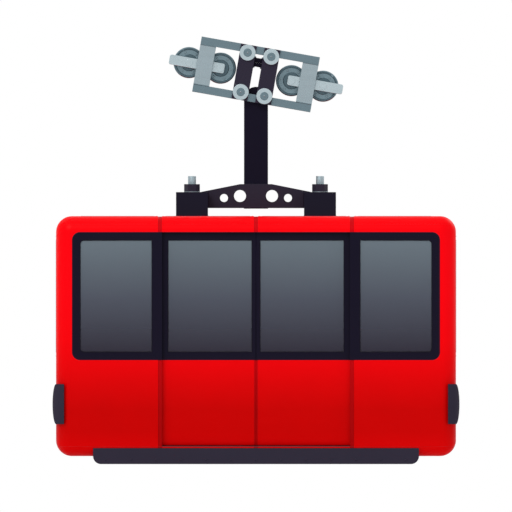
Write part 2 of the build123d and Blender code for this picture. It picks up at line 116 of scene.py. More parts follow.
class Wiring:
    """Adds nodes to one node tree and joins them."""

    def __init__(self, tree: bpy.types.NodeTree) -> None:
        """Work on a tree."""
        self.tree = tree

    def feed(self, socket: Socket, value: object) -> None:
        """Put a value or another node's socket into a socket.

        Args:
            socket: the socket to fill.
            value: what goes in. A vector socket takes the first three parts of a colour.
        """
        if isinstance(value, Socket):
            self.tree.links.new(value, socket)
        else:
            socket.default_value = tuple(value)[:3] if socket.type == "VECTOR" else value

    def add(self, kind: str, feeds: dict | None = None, **settings: object) -> bpy.types.Node:
        """Add a node.

        Args:
            kind: the node's type.
            feeds: what goes into its sockets, by name or place.
            settings: the node's own settings.

        Returns:
            The new node.
        """
        node = self.tree.nodes.new(kind)
        for name, value in settings.items():
            setattr(node, name, value)
        for place, value in (feeds or {}).items():
            self.feed(node.inputs[place], value)
        return node

    def out(self, kind: str, feeds: dict | None = None, **settings: object) -> Socket:
        """Add a node and return its first output."""
        return self.add(kind, feeds, **settings).outputs[0]

    def math(self, operation: str, *values: object) -> Socket:
        """Add a math node and return its result."""
        return self.out("ShaderNodeMath", dict(enumerate(values)), operation=operation)

    def limited(self, value: object, low: float, high: float) -> Socket:
        """Spread the range from low to high over 0 to 1, and cut off what lies outside."""
        feeds = {"Value": value, "From Min": low, "From Max": high}
        return self.out("ShaderNodeMapRange", feeds, clamp=True)

    def blended(self, share: object, first: object, second: object) -> Socket:
        """Mix two colours, with the second one's share."""
        feeds = {0: share, 6: first, 7: second}
        return self.add("ShaderNodeMix", feeds, data_type="RGBA").outputs[2]


def floats(*labels: str) -> dict[str, str]:
    """Name sockets that hold one number each."""
    return dict.fromkeys(labels, "NodeSocketFloat")


def open_group(
    name: str, inputs: dict[str, str], *outputs: str,
) -> tuple[Wiring, bpy.types.NodeOutputs, bpy.types.NodeInputs]:
    """Start a shader node group.

    Args:
        name: the group's name.
        inputs: its inputs' names and socket types.
        outputs: its outputs' names. Each gives one number.

    Returns:
        The group's wiring, the sockets that it is given, and the sockets that it has to fill.
    """
    tree = bpy.data.node_groups.new(name, "ShaderNodeTree")
    for direction, sockets in (("INPUT", inputs), ("OUTPUT", floats(*outputs))):
        for label, kind in sockets.items():
            tree.interface.new_socket(label, in_out=direction, socket_type=kind)
    wiring = Wiring(tree)
    return wiring, wiring.add("NodeGroupInput").outputs, wiring.add("NodeGroupOutput").inputs


@dataclass(frozen=True)
class Settling:
    """How edge wear with its painted highlight, or dust, gathers: the range of its cause that
    counts, and its least share.

    Attributes:
        start: where it begins to show.
        full: where it shows fully.
        least: its share where the surface has no patches.
    """

    start: float
    full: float
    least: float

    def fill(
        self, wiring: Wiring, given: bpy.types.NodeOutputs, cause: Socket,
        wanted: bpy.types.NodeInputs,
    ) -> None:
        """Turn the cause into a mask that varies with the patches, times the amount.

        Args:
            wiring: the group's wiring.
            given: the sockets that the group is given.
            cause: what brings the edge wear and its painted highlight, or the dust.
            wanted: the sockets that the group has to fill.
        """
        share = wiring.math("MULTIPLY_ADD", given["Patches"], 1.0 - self.least, self.least)
        uneven = wiring.math("MULTIPLY", wiring.limited(cause, self.start, self.full), share)
        wiring.feed(wanted["Mask"], wiring.math("MULTIPLY", uneven, given["Amount"]))


# Painted highlight and wear: sharp edges turn lighter, partly as rubbed wear, partly as a painted
# highlight.
EDGE_WEAR_AND_HIGHLIGHT = Settling(start=0.02, full=0.3, least=0.3)
DUST_FALL = Settling(start=0.35, full=1.0, least=0.2)
NOISE_RANGE = (0.3, 0.7)
PATCH_DETAIL = 4.0
GRAIN_DETAIL = 2.0
BEVEL_SAMPLES = 4


@cache
def surface_group() -> bpy.types.NodeTree:
    """Build the group for a surface's slow patches and fine grain, from 0 to 1.

    Returns:
        The group, which is built only once.
    """
    inputs = {"Place": "NodeSocketVector", **floats("Patches scale", "Grain scale")}
    wiring, given, wanted = open_group("surface_variation", inputs, "Patches", "Grain")
    for label, detail in (("Patches", PATCH_DETAIL), ("Grain", GRAIN_DETAIL)):
        feeds = {"Vector": given["Place"], "Scale": given[f"{label} scale"], "Detail": detail}
        noise = wiring.out("ShaderNodeTexNoise", feeds)
        wiring.feed(wanted[label], wiring.limited(noise, *NOISE_RANGE))
    return wiring.tree


@cache
def edge_wear_and_highlight_group() -> bpy.types.NodeTree:
    """Build the group for where a sharp edge is worn and lit by a painted highlight, from 0 to 1.

    Returns:
        The group, which is built only once.
    """
    inputs = floats("Patches", "Radius", "Amount")
    wiring, given, wanted = open_group("edge_wear_and_highlight", inputs, "Mask")
    rounded = wiring.out("ShaderNodeBevel", {"Radius": given["Radius"]}, samples=BEVEL_SAMPLES)
    facing = wiring.add("ShaderNodeNewGeometry").outputs["Normal"]
    alike = wiring.add("ShaderNodeVectorMath", {0: rounded, 1: facing}, operation="DOT_PRODUCT")
    turn = wiring.math("SUBTRACT", 1.0, alike.outputs["Value"])
    EDGE_WEAR_AND_HIGHLIGHT.fill(wiring, given, turn, wanted)
    return wiring.tree


@cache
def dust_group() -> bpy.types.NodeTree:
    """Build the group for where dust has settled on what faces up, from 0 to 1.

    Returns:
        The group, which is built only once.
    """
    wiring, given, wanted = open_group("settled_dust", floats("Patches", "Amount"), "Mask")
    facing = wiring.add("ShaderNodeNewGeometry").outputs["Normal"]
    height = wiring.add("ShaderNodeSeparateXYZ", {0: facing}).outputs[2]
    DUST_FALL.fill(wiring, given, height, wanted)
    return wiring.tree


@dataclass(frozen=True)
class Colour:
    """A colour as a screen shows it, each part from 0 to 255."""

    red: float
    green: float
    blue: float

    @property
    def linear(self) -> tuple[float, float, float, float]:
        """The colour in linear light.

        Returns:
            Its red, green and blue, from 0 to 1, and full opacity.
        """
        parts = []
        for part in (self.red, self.green, self.blue):
            share = part / 255.0
            parts.append(share / 12.92 if share <= 0.04045 else ((share + 0.055) / 1.055) ** 2.4)
        return (*parts, 1.0)


DUST_COLOUR = Colour(150, 146, 140)


@dataclass(frozen=True)
class Finish:
    """A painted, moulded or metal surface with its own grain, patches, edges lightened by wear and
    a painted highlight, and dust.
    """

    name: str
    colour: Colour
    slot: Slot | None = None
    roughness: float = 0.45
    specular: float = 0.12
    metallic: float = 0.0
    opacity: float = 1.0
    patch_scale: float = 3.0
    patch_depth: float = 0.05
    grain_scale: float = 260.0
    grain_height: float = 0.00015
    roughness_spread: float = 0.08
    edge_colour: Colour | None = None
    edge_radius: float = 0.004
    edge_amount: float = 0.0
    dust: float = 0.0
    stretch: tuple[float, float, float] = (1.0, 1.0, 1.0)

    @property
    def material(self) -> bpy.types.Material:
        """The finish's material, built when it is first asked for."""
        return bpy.data.materials.get(self.name) or self.build()

    def body_colour(self, wiring: Wiring, place: Socket) -> object:
        """The colour before patches, wear and dust. A plain finish has one colour."""
        return self.colour.linear

    def build(self) -> bpy.types.Material:
        """Build the material's nodes.

        Returns:
            The new material.
        """
        material = bpy.data.materials.new(self.name)
        material.use_nodes = True
        wiring = Wiring(material.node_tree)
        place = wiring.add("ShaderNodeTexCoord").outputs["Object"]
        feeds = {
            "Place": wiring.out("ShaderNodeMapping", {"Vector": place, "Scale": self.stretch}),
            "Patches scale": self.patch_scale,
            "Grain scale": self.grain_scale,
        }
        surface = wiring.add("ShaderNodeGroup", feeds, node_tree=surface_group())
        patches, grain = surface.outputs["Patches"], surface.outputs["Grain"]

        tone = wiring.math("MULTIPLY_ADD", patches, self.patch_depth, 1.0 - self.patch_depth / 2)
        feeds = {0: self.body_colour(wiring, place), "Scale": tone}
        colour = wiring.out("ShaderNodeVectorMath", feeds, operation="SCALE")
        # Painted highlight with wear: the colour turns lighter along sharp edges.
        if self.edge_colour:
            feeds = {"Patches": patches, "Radius": self.edge_radius, "Amount": self.edge_amount}
            worn_and_highlit = wiring.out("ShaderNodeGroup", feeds, node_tree=edge_wear_and_highlight_group())
            colour = wiring.blended(worn_and_highlit, colour, self.edge_colour.linear)
        if self.dust:
            feeds = {"Patches": patches, "Amount": self.dust}
            dusty = wiring.out("ShaderNodeGroup", feeds, node_tree=dust_group())
            colour = wiring.blended(dusty, colour, DUST_COLOUR.linear)

        smoothest = self.roughness - self.roughness_spread / 2
        relief = {"Height": grain, "Distance": self.grain_height}
        looks = {
            "Base Color": colour,
            "Roughness": wiring.math("MULTIPLY_ADD", grain, self.roughness_spread, smoothest),
            "Normal": wiring.out("ShaderNodeBump", relief),
            "Metallic": self.metallic,
            "Specular IOR Level": self.specular,
            "Alpha": self.opacity,
        }
        shader = material.node_tree.nodes["Principled BSDF"]
        for label, value in looks.items():
            wiring.feed(shader.inputs[label], value)
        return material


@dataclass(frozen=True)
class Grade:
    """A colour that a graded surface has at one height."""

    height: float
    colour: Colour


def graded(wiring: Wiring, place: Socket, grades: Sequence[Grade]) -> Socket:
    """Colour a surface by height.

    Args:
        wiring: the material's wiring.
        place: the point's place.
        grades: the colours, from the lowest height to the highest.

    Returns:
        The colour at the point's height.
    """
    low, high = grades[0].height, grades[-1].height
    height = wiring.add("ShaderNodeSeparateXYZ", {0: place}).outputs[2]
    ramp = wiring.add("ShaderNodeValToRGB", {0: wiring.limited(height, low, high)})
    stops = ramp.color_ramp.elements
    while len(stops) < len(grades):
        stops.new(1.0)
    for stop, grade in zip(stops, grades):
        stop.position = (grade.height - low) / (high - low)
        stop.color = grade.colour.linear
    return ramp.outputs[0]


@dataclass(frozen=True)
class GlassWithPaintedLight(Finish):
    """Tinted glass with painted light and shade, lighter at the top and darker downwards, that
    lets some of the inside through.
    """

    grades: tuple[Grade, ...] = ()

    def body_colour(self, wiring: Wiring, place: Socket) -> Socket:
        """The glass's colour by height, with its painted light and shade."""
        return graded(wiring, place, self.grades)


@dataclass(frozen=True)
class PaintWithPaintedShade(Finish):
    """Red paint with painted shade: darker towards the sill, and with darker strips of painted
    shade along the seams.
    """

    grades: tuple[Grade, ...] = ()
    seam_grades: tuple[Grade, ...] = ()
    seam_places: tuple[float, ...] = ()
    seam_width: float = 0.040

    def body_colour(self, wiring: Wiring, place: Socket) -> Socket:
        """Colour the panels and the strips along the seams, both by height, as painted shade.

        Args:
            wiring: the material's wiring.
            place: the point's place.

        Returns:
            The colour at the point.
        """
        across = wiring.out("ShaderNodeSeparateXYZ", {0: place})
        mask = None
        # Painted shade: the strips along the seams are darker, standing for the shade in the
        # seams' grooves.
        for seam in self.seam_places:
            near = wiring.math("COMPARE", across, seam, self.seam_width / 2)
            mask = near if mask is None else wiring.math("MAXIMUM", mask, near)
        panel = graded(wiring, place, self.grades)
        strip = graded(wiring, place, self.seam_grades)
        return wiring.blended(mask, panel, strip)


@dataclass(frozen=True)
class SpunMetal(Finish):
    """Metal turned on a lathe or brushed, with fine lines along one direction."""

    metallic: float = 1.0
    roughness: float = 0.42
    specular: float = 0.5
    grain_scale: float = 60.0
    grain_height: float = 0.00004
    stretch: tuple[float, float, float] = (0.6, 8.0, 8.0)


INK = Colour(26, 22, 38)
INK_PAINT = Colour(20, 16, 34)
SLATE = Colour(48, 44, 59)
STEEL_EDGE = Colour(150, 160, 165)
TURNED = (6.0, 6.0, 6.0)
UPRIGHT = (3.0, 3.0, 1.0)
SEAM_PLACES = (-0.96, 0.0, 0.96)
# Painted shade on the red panels: darker from the belt down, where the side curves under, then
# painted lighter again near the foot to cancel the real shade there.
RED_PAINTED_SHADE_GRADES = (
    Grade(-3.66, Colour(230, 0, 2)),
    Grade(-3.45, Colour(212, 0, 0)),
    Grade(-3.23, Colour(209, 0, 0)),
    Grade(-2.96, Colour(226, 0, 3)),
    Grade(-2.83, Colour(235, 0, 5)),
    Grade(-2.53, Colour(251, 0, 9)),
    Grade(-2.10, Colour(255, 0, 13)),
)
# Painted shade in the seam strips, darker downwards.
SEAM_PAINTED_SHADE_GRADES = (
    Grade(-3.23, Colour(174, 2, 5)),
    Grade(-2.10, Colour(209, 2, 15)),
)
# Painted shade in the strip where the leaves meet: darker downwards, then painted lighter near the
# foot to cancel the real shade there.
LEAF_SEAM_PAINTED_SHADE_GRADES = (
    Grade(-3.60, Colour(202, 2, 5)),
    Grade(-3.43, Colour(187, 2, 5)),
    Grade(-3.23, Colour(181, 2, 5)),
    Grade(-2.74, Colour(208, 2, 12)),
)
# The nose seals take the leaf seam's painted shade below the belt, and the window band's ink above
# it.
NOSE_PAINTED_SHADE_GRADES = (*LEAF_SEAM_PAINTED_SHADE_GRADES, Grade(-2.73, INK))
# Painted light and shade on the glass: lighter at the top, darker downwards.
GLASS_LIGHT_AND_SHADE_GRADES = (
    Grade(-2.655, Colour(46, 42, 57)),
    Grade(-2.134, Colour(80, 85, 98)),
    Grade(-1.535, Colour(110, 123, 132)),
)

# The red shell and leaves carry the painted shade of the grades above.
RED_SHELL = PaintWithPaintedShade(
    "red_shell_painted_shade", Colour(255, 0, 14), Slot.RED, roughness=0.32, specular=0.04,
    patch_depth=0.03, grain_scale=140.0, grain_height=0.00006, edge_colour=Colour(255, 60, 60),
    edge_amount=0.08, dust=0.015, grades=RED_PAINTED_SHADE_GRADES, seam_grades=SEAM_PAINTED_SHADE_GRADES,
    seam_places=SEAM_PLACES,
)
RED_LEAF = replace(
    RED_SHELL, name="red_leaf_painted_shade", dust=0.0, seam_grades=LEAF_SEAM_PAINTED_SHADE_GRADES, seam_places=(0.0,)
)
NOSE = PaintWithPaintedShade(
    "nose_seal_painted_shade", INK, Slot.RUBBER, roughness=0.9, specular=0.0, patch_depth=0.03,
    grain_scale=400.0, grades=NOSE_PAINTED_SHADE_GRADES, seam_grades=NOSE_PAINTED_SHADE_GRADES, seam_places=(0.0,),
)
LINING = Finish(
    "finish_lining", Colour(112, 114, 122), roughness=0.6, grain_scale=500.0, grain_height=0.0001
)
TRIM = Finish(
    "finish_trim", INK_PAINT, Slot.TRIM, roughness=0.35, specular=0.06, grain_scale=320.0,
    grain_height=0.00005, edge_colour=Colour(70, 68, 84), edge_amount=0.35,
)
GLASS = GlassWithPaintedLight(
    "glass_painted_light_and_shade", Colour(80, 85, 97), Slot.GLASS, roughness=0.06, specular=0.2, opacity=0.86,
    patch_depth=0.02, grain_scale=3.0, grain_height=0.00002, roughness_spread=0.03,
    grades=GLASS_LIGHT_AND_SHADE_GRADES,
)
BLACK = Finish(
    "finish_black", INK_PAINT, Slot.BLACK, roughness=0.42, specular=0.06, grain_scale=180.0,
    grain_height=0.0001, edge_colour=Colour(82, 80, 96), edge_amount=0.45, dust=0.06,
)
CHARCOAL = replace(
    BLACK, name="finish_charcoal", colour=Colour(46, 42, 57), slot=Slot.CHARCOAL, specular=0.08,
    edge_colour=Colour(96, 94, 108),
)
RUBBER = Finish(
    "finish_rubber", SLATE, Slot.RUBBER, roughness=0.82, specular=0.1, grain_scale=420.0,
    grain_height=0.0004, patch_depth=0.12,
)
SEAL = Finish(
    "finish_seal", Colour(20, 18, 28), Slot.RUBBER, roughness=0.7, specular=0.1, grain_scale=500.0
)
LINER = Finish(
    "finish_liner", Colour(38, 38, 42), Slot.RUBBER, roughness=0.85, specular=0.1,
    grain_height=0.0004,
)
FRAME = SpunMetal(
    "finish_frame", Colour(110, 129, 137), Slot.FRAME, edge_colour=STEEL_EDGE, edge_amount=0.5,
    dust=0.05,
)
# Painted light: the wheels' steel is a lighter copy of the frame's, to offset the shade on the
# rims' chamfers.
WHEEL = replace(
    FRAME, name="finish_wheel", colour=Colour(117, 137, 145), stretch=TURNED, dust=0.0
)
HUB = replace(WHEEL, name="finish_hub", colour=Colour(82, 100, 108), edge_amount=0.3)
LIGHT = SpunMetal(
    "finish_light", Colour(153, 168, 174), Slot.LIGHT, edge_colour=Colour(190, 200, 205),
    edge_amount=0.5,
)
BRIGHT = SpunMetal(
    "finish_bright", Colour(179, 194, 199), Slot.BRIGHT, roughness=0.36,
    edge_colour=Colour(215, 222, 226), edge_amount=0.5,
)
PIN = SpunMetal("finish_pin", Colour(110, 129, 137), Slot.PIN, roughness=0.34, stretch=TURNED)
STUD = SpunMetal(
    "finish_stud", Colour(165, 182, 188), Slot.LIGHT, roughness=0.38, stretch=UPRIGHT
)
ZINC = SpunMetal("finish_zinc", Colour(138, 148, 154), Slot.PIN, roughness=0.4, stretch=TURNED)
WASHER = replace(ZINC, slot=Slot.LIGHT)
TUBE = SpunMetal("finish_tube", Colour(176, 180, 184), Slot.TUBE, roughness=0.25, stretch=UPRIGHT)
ALLOY = SpunMetal("finish_alloy", Colour(150, 154, 160), Slot.ALLOY, roughness=0.5)
SILL = SpunMetal("finish_sill", Colour(70, 66, 74), Slot.ALLOY, roughness=0.55)
MAT = Finish(
    "finish_mat", Colour(62, 62, 70), Slot.FLOOR, roughness=0.85, specular=0.1,
    grain_height=0.0003, patch_depth=0.15, dust=0.15,
)
BENCH = Finish(
    "finish_bench", Colour(92, 98, 110), Slot.BENCH, roughness=0.55, grain_scale=600.0,
    grain_height=0.0002,
)
LAMP = Finish("finish_lamp", Colour(225, 226, 228), Slot.BENCH, roughness=0.5, grain_scale=700.0)
GRIT = Finish(
    "finish_grit", Colour(52, 48, 60), Slot.RED, roughness=0.95, specular=0.05, grain_scale=900.0,
    grain_height=0.0012, patch_depth=0.2, dust=0.1,
)
FLOOR = Finish(
    "finish_studio_floor", Colour(236, 236, 238), roughness=0.9, specular=0.1, patch_depth=0.01
)


def link(obj: bpy.types.Object) -> bpy.types.Object:
    """Put an object into the scene."""
    bpy.context.scene.collection.objects.link(obj)
    return obj


def baked(carrier: bpy.types.Object, name: str) -> bpy.types.Object:
    """Keep what an object's modifiers make as a plain mesh, and delete the object.

    Args:
        carrier: the object with the modifiers.
        name: the finished piece's name.

    Returns:
        The finished piece.
    """
    evaluated = carrier.evaluated_get(bpy.context.evaluated_depsgraph_get())
    mesh = bpy.data.meshes.new_from_object(evaluated)
    mesh.name = name
    carrier.modifiers.clear()
    bpy.data.objects.remove(carrier)
    return link(bpy.data.objects.new(name, mesh))


def bevelled(form: Form, name: str, width: float, segments: int = 2) -> bpy.types.Object:
    """Turn a mesh in the making into a smoothly shaded object with rounded edges.

    Args:
        form: the mesh, which is freed.
        name: the piece's name.
        width: how wide the rounded edges are.
        segments: how many steps each has.

    Returns:
        The piece.
    """
    for face in form.faces:
        face.smooth = True
    for edge in form.edges:
        edge.smooth = edge.calc_face_angle(0.0) < SHARP_ANGLE
    mesh = bpy.data.meshes.new(name)
    form.to_mesh(mesh)
    form.free()
    if "custom_normal" in mesh.attributes:
        mesh.attributes.remove(mesh.attributes["custom_normal"])
    carrier = link(bpy.data.objects.new(name + "_plain", mesh))
    bevel = carrier.modifiers.new("edges", "BEVEL")
    bevel.width = width
    bevel.segments = segments
    bevel.limit_method = "ANGLE"
    bevel.angle_limit = SHARP_ANGLE
    bevel.harden_normals = True
    bevel.use_clamp_overlap = False
    return baked(carrier, name)


@dataclass
class Assembly:
    """One assembly of the vehicle, riding on one body of the frame.

    Attributes:
        growers: the trees that grow what repeats.
        body: the body that the pieces ride on.
    """

    frame: dict
    growers: Growers
    body: str

    def place(self, piece: bpy.types.Object, slot: Slot) -> None:
        """Let a finished piece ride on the body, and report it.

        Args:
            piece: the piece.
            slot: the record's material slot. It is not used.
        """
        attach(piece, self.body)
        log.info("%s rides on %s with %d faces", piece.name, self.body, len(piece.data.polygons))

    def refine(
        self, node: str, finish: Finish, edge: float = 0.002, other: Finish | None = None,
        where: FaceTest | None = None,
    ) -> None:
        """Stand in for a solid with a copy that has rounded edges and a finish.

        Args:
            node: the solid's name.
            finish: the finish of its surface.
            edge: how wide its rounded edges are.
            other: a second finish.
            where: picks the faces that have the second finish.
        """
        form = bmesh.new()
        form.from_mesh(self.frame["nodes"][node].data)
        bmesh.ops.remove_doubles(form, verts=form.verts, dist=MERGE_DISTANCE)
        bmesh.ops.dissolve_limit(form, angle_limit=FLAT_ANGLE, verts=form.verts, edges=form.edges)
        form.normal_update()
        for face in form.faces:
            face.material_index = int(where is not None and where(face))
        piece = bevelled(form, f"{node}_finished", edge)
        for each in (finish, other):
            if each:
                piece.data.materials.append(each.material)
        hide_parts(node)
        self.place(piece, finish.slot)

    def add(self, form: Form, name: str, finish: Finish, edge: float, segments: int = 1) -> None:
        """Finish a fitting made in this script.

        Args:
            form: its mesh in the making.
            name: its name.
            finish: its finish.
            edge: how wide its rounded edges are.
            segments: how many steps each has.
        """
        piece = bevelled(form, name, edge, segments)
        piece.data.materials.append(finish.material)
        self.place(piece, finish.slot)

    def grow(
        self, grower: Grower, name: str, routes: Iterable[Route], finish: Finish, **sizes: object,
    ) -> None:
        """Grow fittings along routes.

        Args:
            grower: the tree that grows them.
            name: the piece's name.
            routes: what they follow.
            finish: their finish.
            sizes: the tree's inputs.
        """
        self.place(grower.grow(name, routes, finish, **sizes), finish.slot)


@dataclass
class Route:
    """A chain of points that a row of fasteners, a seal or a weld follows.

    Attributes:
        points: the chain's points.
        facing: where fasteners on it point.
        closed: whether the last point joins the first.
        corners: the radius of each corner, or none for sharp corners.
    """

    points: Sequence[Vector]
    facing: Vector = field(default_factory=UP.copy)
    closed: bool = False
    corners: Sequence[float] = ()


def route_mesh(name: str, routes: Iterable[Route]) -> bpy.types.Mesh:
    """Make a mesh of edges from routes, with each point's facing and corner radius.

    Args:
        name: the mesh's name.
        routes: the routes.

    Returns:
        The mesh.
    """
    points, edges, facings, corners = [], [], [], []
    for route in routes:
        first = len(points)
        count = len(route.points)
        points += [tuple(point) for point in route.points]
        edges += [(first + k, first + k + 1) for k in range(count - 1)]
        if route.closed:
            edges.append((first + count - 1, first))
        facings += [tuple(route.facing)] * count
        corners += list(route.corners) or [0.0] * count
    mesh = bpy.data.meshes.new(name)
    mesh.from_pydata(points, edges, [])
    facing = mesh.attributes.new("facing", "FLOAT_VECTOR", "POINT")
    facing.data.foreach_set("vector", sum(facings, ()))
    corner = mesh.attributes.new("corner", "FLOAT", "POINT")
    corner.data.foreach_set("value", corners)
    return mesh


class Grower(Wiring):
    """A Geometry Nodes tree that grows small forms along routes or over a field."""

    name = "grower"
    sizes: dict[str, str] = {}

    def __init__(self) -> None:
        """Build the tree with its named inputs."""
        super().__init__(bpy.data.node_groups.new(self.name, "GeometryNodeTree"))
        shape = "NodeSocketGeometry"
        sockets = {"Routes": shape, **self.sizes, "Finish": "NodeSocketMaterial"}
        for label, kind in sockets.items():
            self.tree.interface.new_socket(label, in_out="INPUT", socket_type=kind)
        self.tree.interface.new_socket("Geometry", in_out="OUTPUT", socket_type=shape)
        self.given = self.add("NodeGroupInput").outputs
        real = self.out("GeometryNodeRealizeInstances", {0: self.grown()})
        feeds = {"Geometry": real, "Material": self.given["Finish"]}
        self.add("NodeGroupOutput", {0: self.out("GeometryNodeSetMaterial", feeds)})

    def grown(self) -> Socket:
        """Build the nodes that make the forms, and return their geometry."""
        raise NotImplementedError

    def attribute(self, name: str, kind: str) -> Socket:
        """Read a value that the route's points carry."""
        return self.out("GeometryNodeInputNamedAttribute", {"Name": name}, data_type=kind)

    def curve(self) -> Socket:
        """The routes as curves."""
        return self.out("GeometryNodeMeshToCurve", {0: self.given["Routes"]})

    def spaced(self, length: Socket) -> Socket:
        """The routes with a point at every such length."""
        feeds = {"Curve": self.curve(), "Length": length}
        return self.out("GeometryNodeResampleCurve", feeds, mode="LENGTH")

    def swept(
        self, path: Socket, radius: Socket, sides: int,
        swell: object = 1.0,
    ) -> Socket:
        """Sweep a round section along a path.

        Args:
            path: the path.
            radius: the section's radius.
            sides: how many sides the section has.
            swell: how much wider it is from place to place.

        Returns:
            The swept form, closed at its ends.
        """
        feeds = {"Resolution": sides, "Radius": radius}
        section = self.out("GeometryNodeCurvePrimitiveCircle", feeds)
        feeds = {"Curve": path, "Profile Curve": section, "Scale": swell, "Fill Caps": True}
        return self.out("GeometryNodeCurveToMesh", feeds)

    def smooth(self, form: Socket) -> Socket:
        """Shade a form smoothly."""
        return self.out("GeometryNodeSetShadeSmooth", {"Geometry": form})

    def instances(self, points: Socket, form: Socket, faced: bool = True) -> Socket:
        """Set a form on each point.

        Args:
            points: the points.
            form: the form, which stands up along Z.
            faced: whether it turns to where the point faces.

        Returns:
            The forms' geometry.
        """
        feeds = {"Points": points, "Instance": form}
        if faced:
            facing = {"Vector": self.attribute("facing", "FLOAT_VECTOR")}
            feeds["Rotation"] = self.out("FunctionNodeAlignRotationToVector", facing, axis="Z")
        return self.out("GeometryNodeInstanceOnPoints", feeds)

    def raised(self, form: Socket, height: object) -> Socket:
        """Lift a form by a height."""
        lift = self.out("ShaderNodeCombineXYZ", {2: height})
        return self.out("GeometryNodeTransform", {"Geometry": form, "Translation": lift})

    def grow(
        self, name: str, routes: Iterable[Route], finish: Finish, **values: object,
    ) -> bpy.types.Object:
        """Run the tree.

        Args:
            name: the piece's name.
            routes: what the forms follow.
            finish: the finish of the forms.
            values: the tree's inputs, by name.

        Returns:
            The piece as a plain mesh.
        """
        carrier = link(bpy.data.objects.new(name + "_route", route_mesh(name + "_route", routes)))
        modifier = carrier.modifiers.new(self.name, "NODES")
        modifier.node_group = self.tree
        items = self.tree.interface.items_tree
        sockets = {item.name: item.identifier for item in items if item.in_out == "INPUT"}
        for label, value in {"Finish": finish.material, **values}.items():
            modifier[sockets[label]] = value
        return baked(carrier, name)


class BoltRow(Grower):
    """Hexagon bolt heads with washers, evenly spaced along routes."""

    name = "bolt_row"
    sizes = floats("Spacing", "Radius", "Height")
    flats = 6
    washer_sides = 20
    washer_share = 0.18
    crown_share = 0.15
    washer_overhang = 1.3
    crown_taper = 0.84

    def post(self, sides: int, radius: Socket, height: Socket) -> Socket:
        """Stand a post on the surface.

        Args:
            sides: how many faces go round it.
            radius: its radius.
            height: its height.

        Returns:
            Its geometry.
        """
        feeds = {"Vertices": sides, "Radius": radius, "Depth": height}
        form = self.out("GeometryNodeMeshCylinder", feeds)
        return self.raised(form, self.math("MULTIPLY", height, 0.5))

    def head(self) -> Socket:
        """Build one bolt head: a washer, six flats and a chamfered crown.

        Returns:
            Its geometry.
        """
        radius, height = self.given["Radius"], self.given["Height"]
        washer_radius = self.math("MULTIPLY", radius, self.washer_overhang)
        washer_height = self.math("MULTIPLY", height, self.washer_share)
        flats_height = self.math("MULTIPLY", height, 1.0 - self.crown_share)
        feeds = {
            "Vertices": self.flats, "Radius Bottom": radius,
            "Radius Top": self.math("MULTIPLY", radius, self.crown_taper),
            "Depth": self.math("MULTIPLY", height, self.crown_share),
        }
        node = self.add("GeometryNodeJoinGeometry")
        for form in (
            self.post(self.washer_sides, washer_radius, washer_height),
            self.post(self.flats, radius, flats_height),
            self.raised(self.out("GeometryNodeMeshCone", feeds), flats_height),
        ):
            self.feed(node.inputs[0], form)
        return node.outputs[0]

    def grown(self) -> Socket:
        """Space the heads along the routes."""
        return self.instances(self.spaced(self.given["Spacing"]), self.head())


class RivetRow(BoltRow):
    """Domed rivet heads, evenly spaced along routes."""

    name = "rivet_row"
    segments = 10
    rings = 6

    def head(self) -> Socket:
        """Build one domed head, with its lower half in the surface.

        Returns:
            Its geometry.
        """
        radius = self.given["Radius"]
        feeds = {"Segments": self.segments, "Rings": self.rings, "Radius": radius}
        ball = self.out("GeometryNodeMeshUVSphere", feeds)
        flatness = self.math("DIVIDE", self.given["Height"], radius)
        scale = self.out("ShaderNodeCombineXYZ", {0: 1.0, 1: 1.0, 2: flatness})
        return self.smooth(self.out("GeometryNodeTransform", {"Geometry": ball, "Scale": scale}))


class SealRun(Grower):
    """A round seal along routes, with rounded corners."""

    name = "seal_run"
    sizes = floats("Radius")
    sides = 8
    corner_steps = 6

    def grown(self) -> Socket:
        """Round the corners, then sweep the seal.

        Returns:
            The seal's geometry.
        """
        corner = self.attribute("corner", "FLOAT")
        feeds = {"Curve": self.curve(), "Count": self.corner_steps, "Radius": corner}
        rounded = self.out("GeometryNodeFilletCurve", feeds, mode="POLY")
        return self.smooth(self.swept(rounded, self.given["Radius"], self.sides))


class WeldRun(Grower):
    """A weld bead along routes, with the ripples of a hand weld."""

    name = "weld_run"
    sizes = floats("Radius", "Ripple")
    sides = 8
    steps_per_ripple = 4.0
    ripple_depth = 0.16

    def grown(self) -> Socket:
        """Divide the routes finely and sweep a bead that swells at each ripple.

        Returns:
            The bead's geometry.
        """
        radius, ripple = self.given["Radius"], self.given["Ripple"]
        fine = self.spaced(self.math("DIVIDE", ripple, self.steps_per_ripple))
        travelled = self.add("GeometryNodeSplineParameter").outputs["Length"]
        turns = self.math("DIVIDE", travelled, ripple)
        wave = self.math("SINE", self.math("MULTIPLY", turns, math.tau))
        swell = self.math("MULTIPLY_ADD", wave, self.ripple_depth, 1.0)
        return self.smooth(self.swept(fine, radius, self.sides, swell))


class ThreadRun(Grower):
    """A screw thread that starts at each point of the routes and winds to where it faces."""

    name = "thread_run"
    sizes = floats("Radius", "Turns", "Height", "Depth")
    steps_per_turn = 28
    ridge_sides = 3

    def grown(self) -> Socket:
        """Sweep a three-sided ridge along a helix.

        Returns:
            The threads' geometry.
        """
        radius = self.given["Radius"]
        feeds = {
            "Resolution": self.steps_per_turn, "Rotations": self.given["Turns"],
            "Start Radius": radius, "End Radius": radius, "Height": self.given["Height"],
        }
        helix = self.out("GeometryNodeCurveSpiral", feeds)
        thread = self.swept(helix, self.given["Depth"], self.ridge_sides)
        return self.instances(self.given["Routes"], thread)


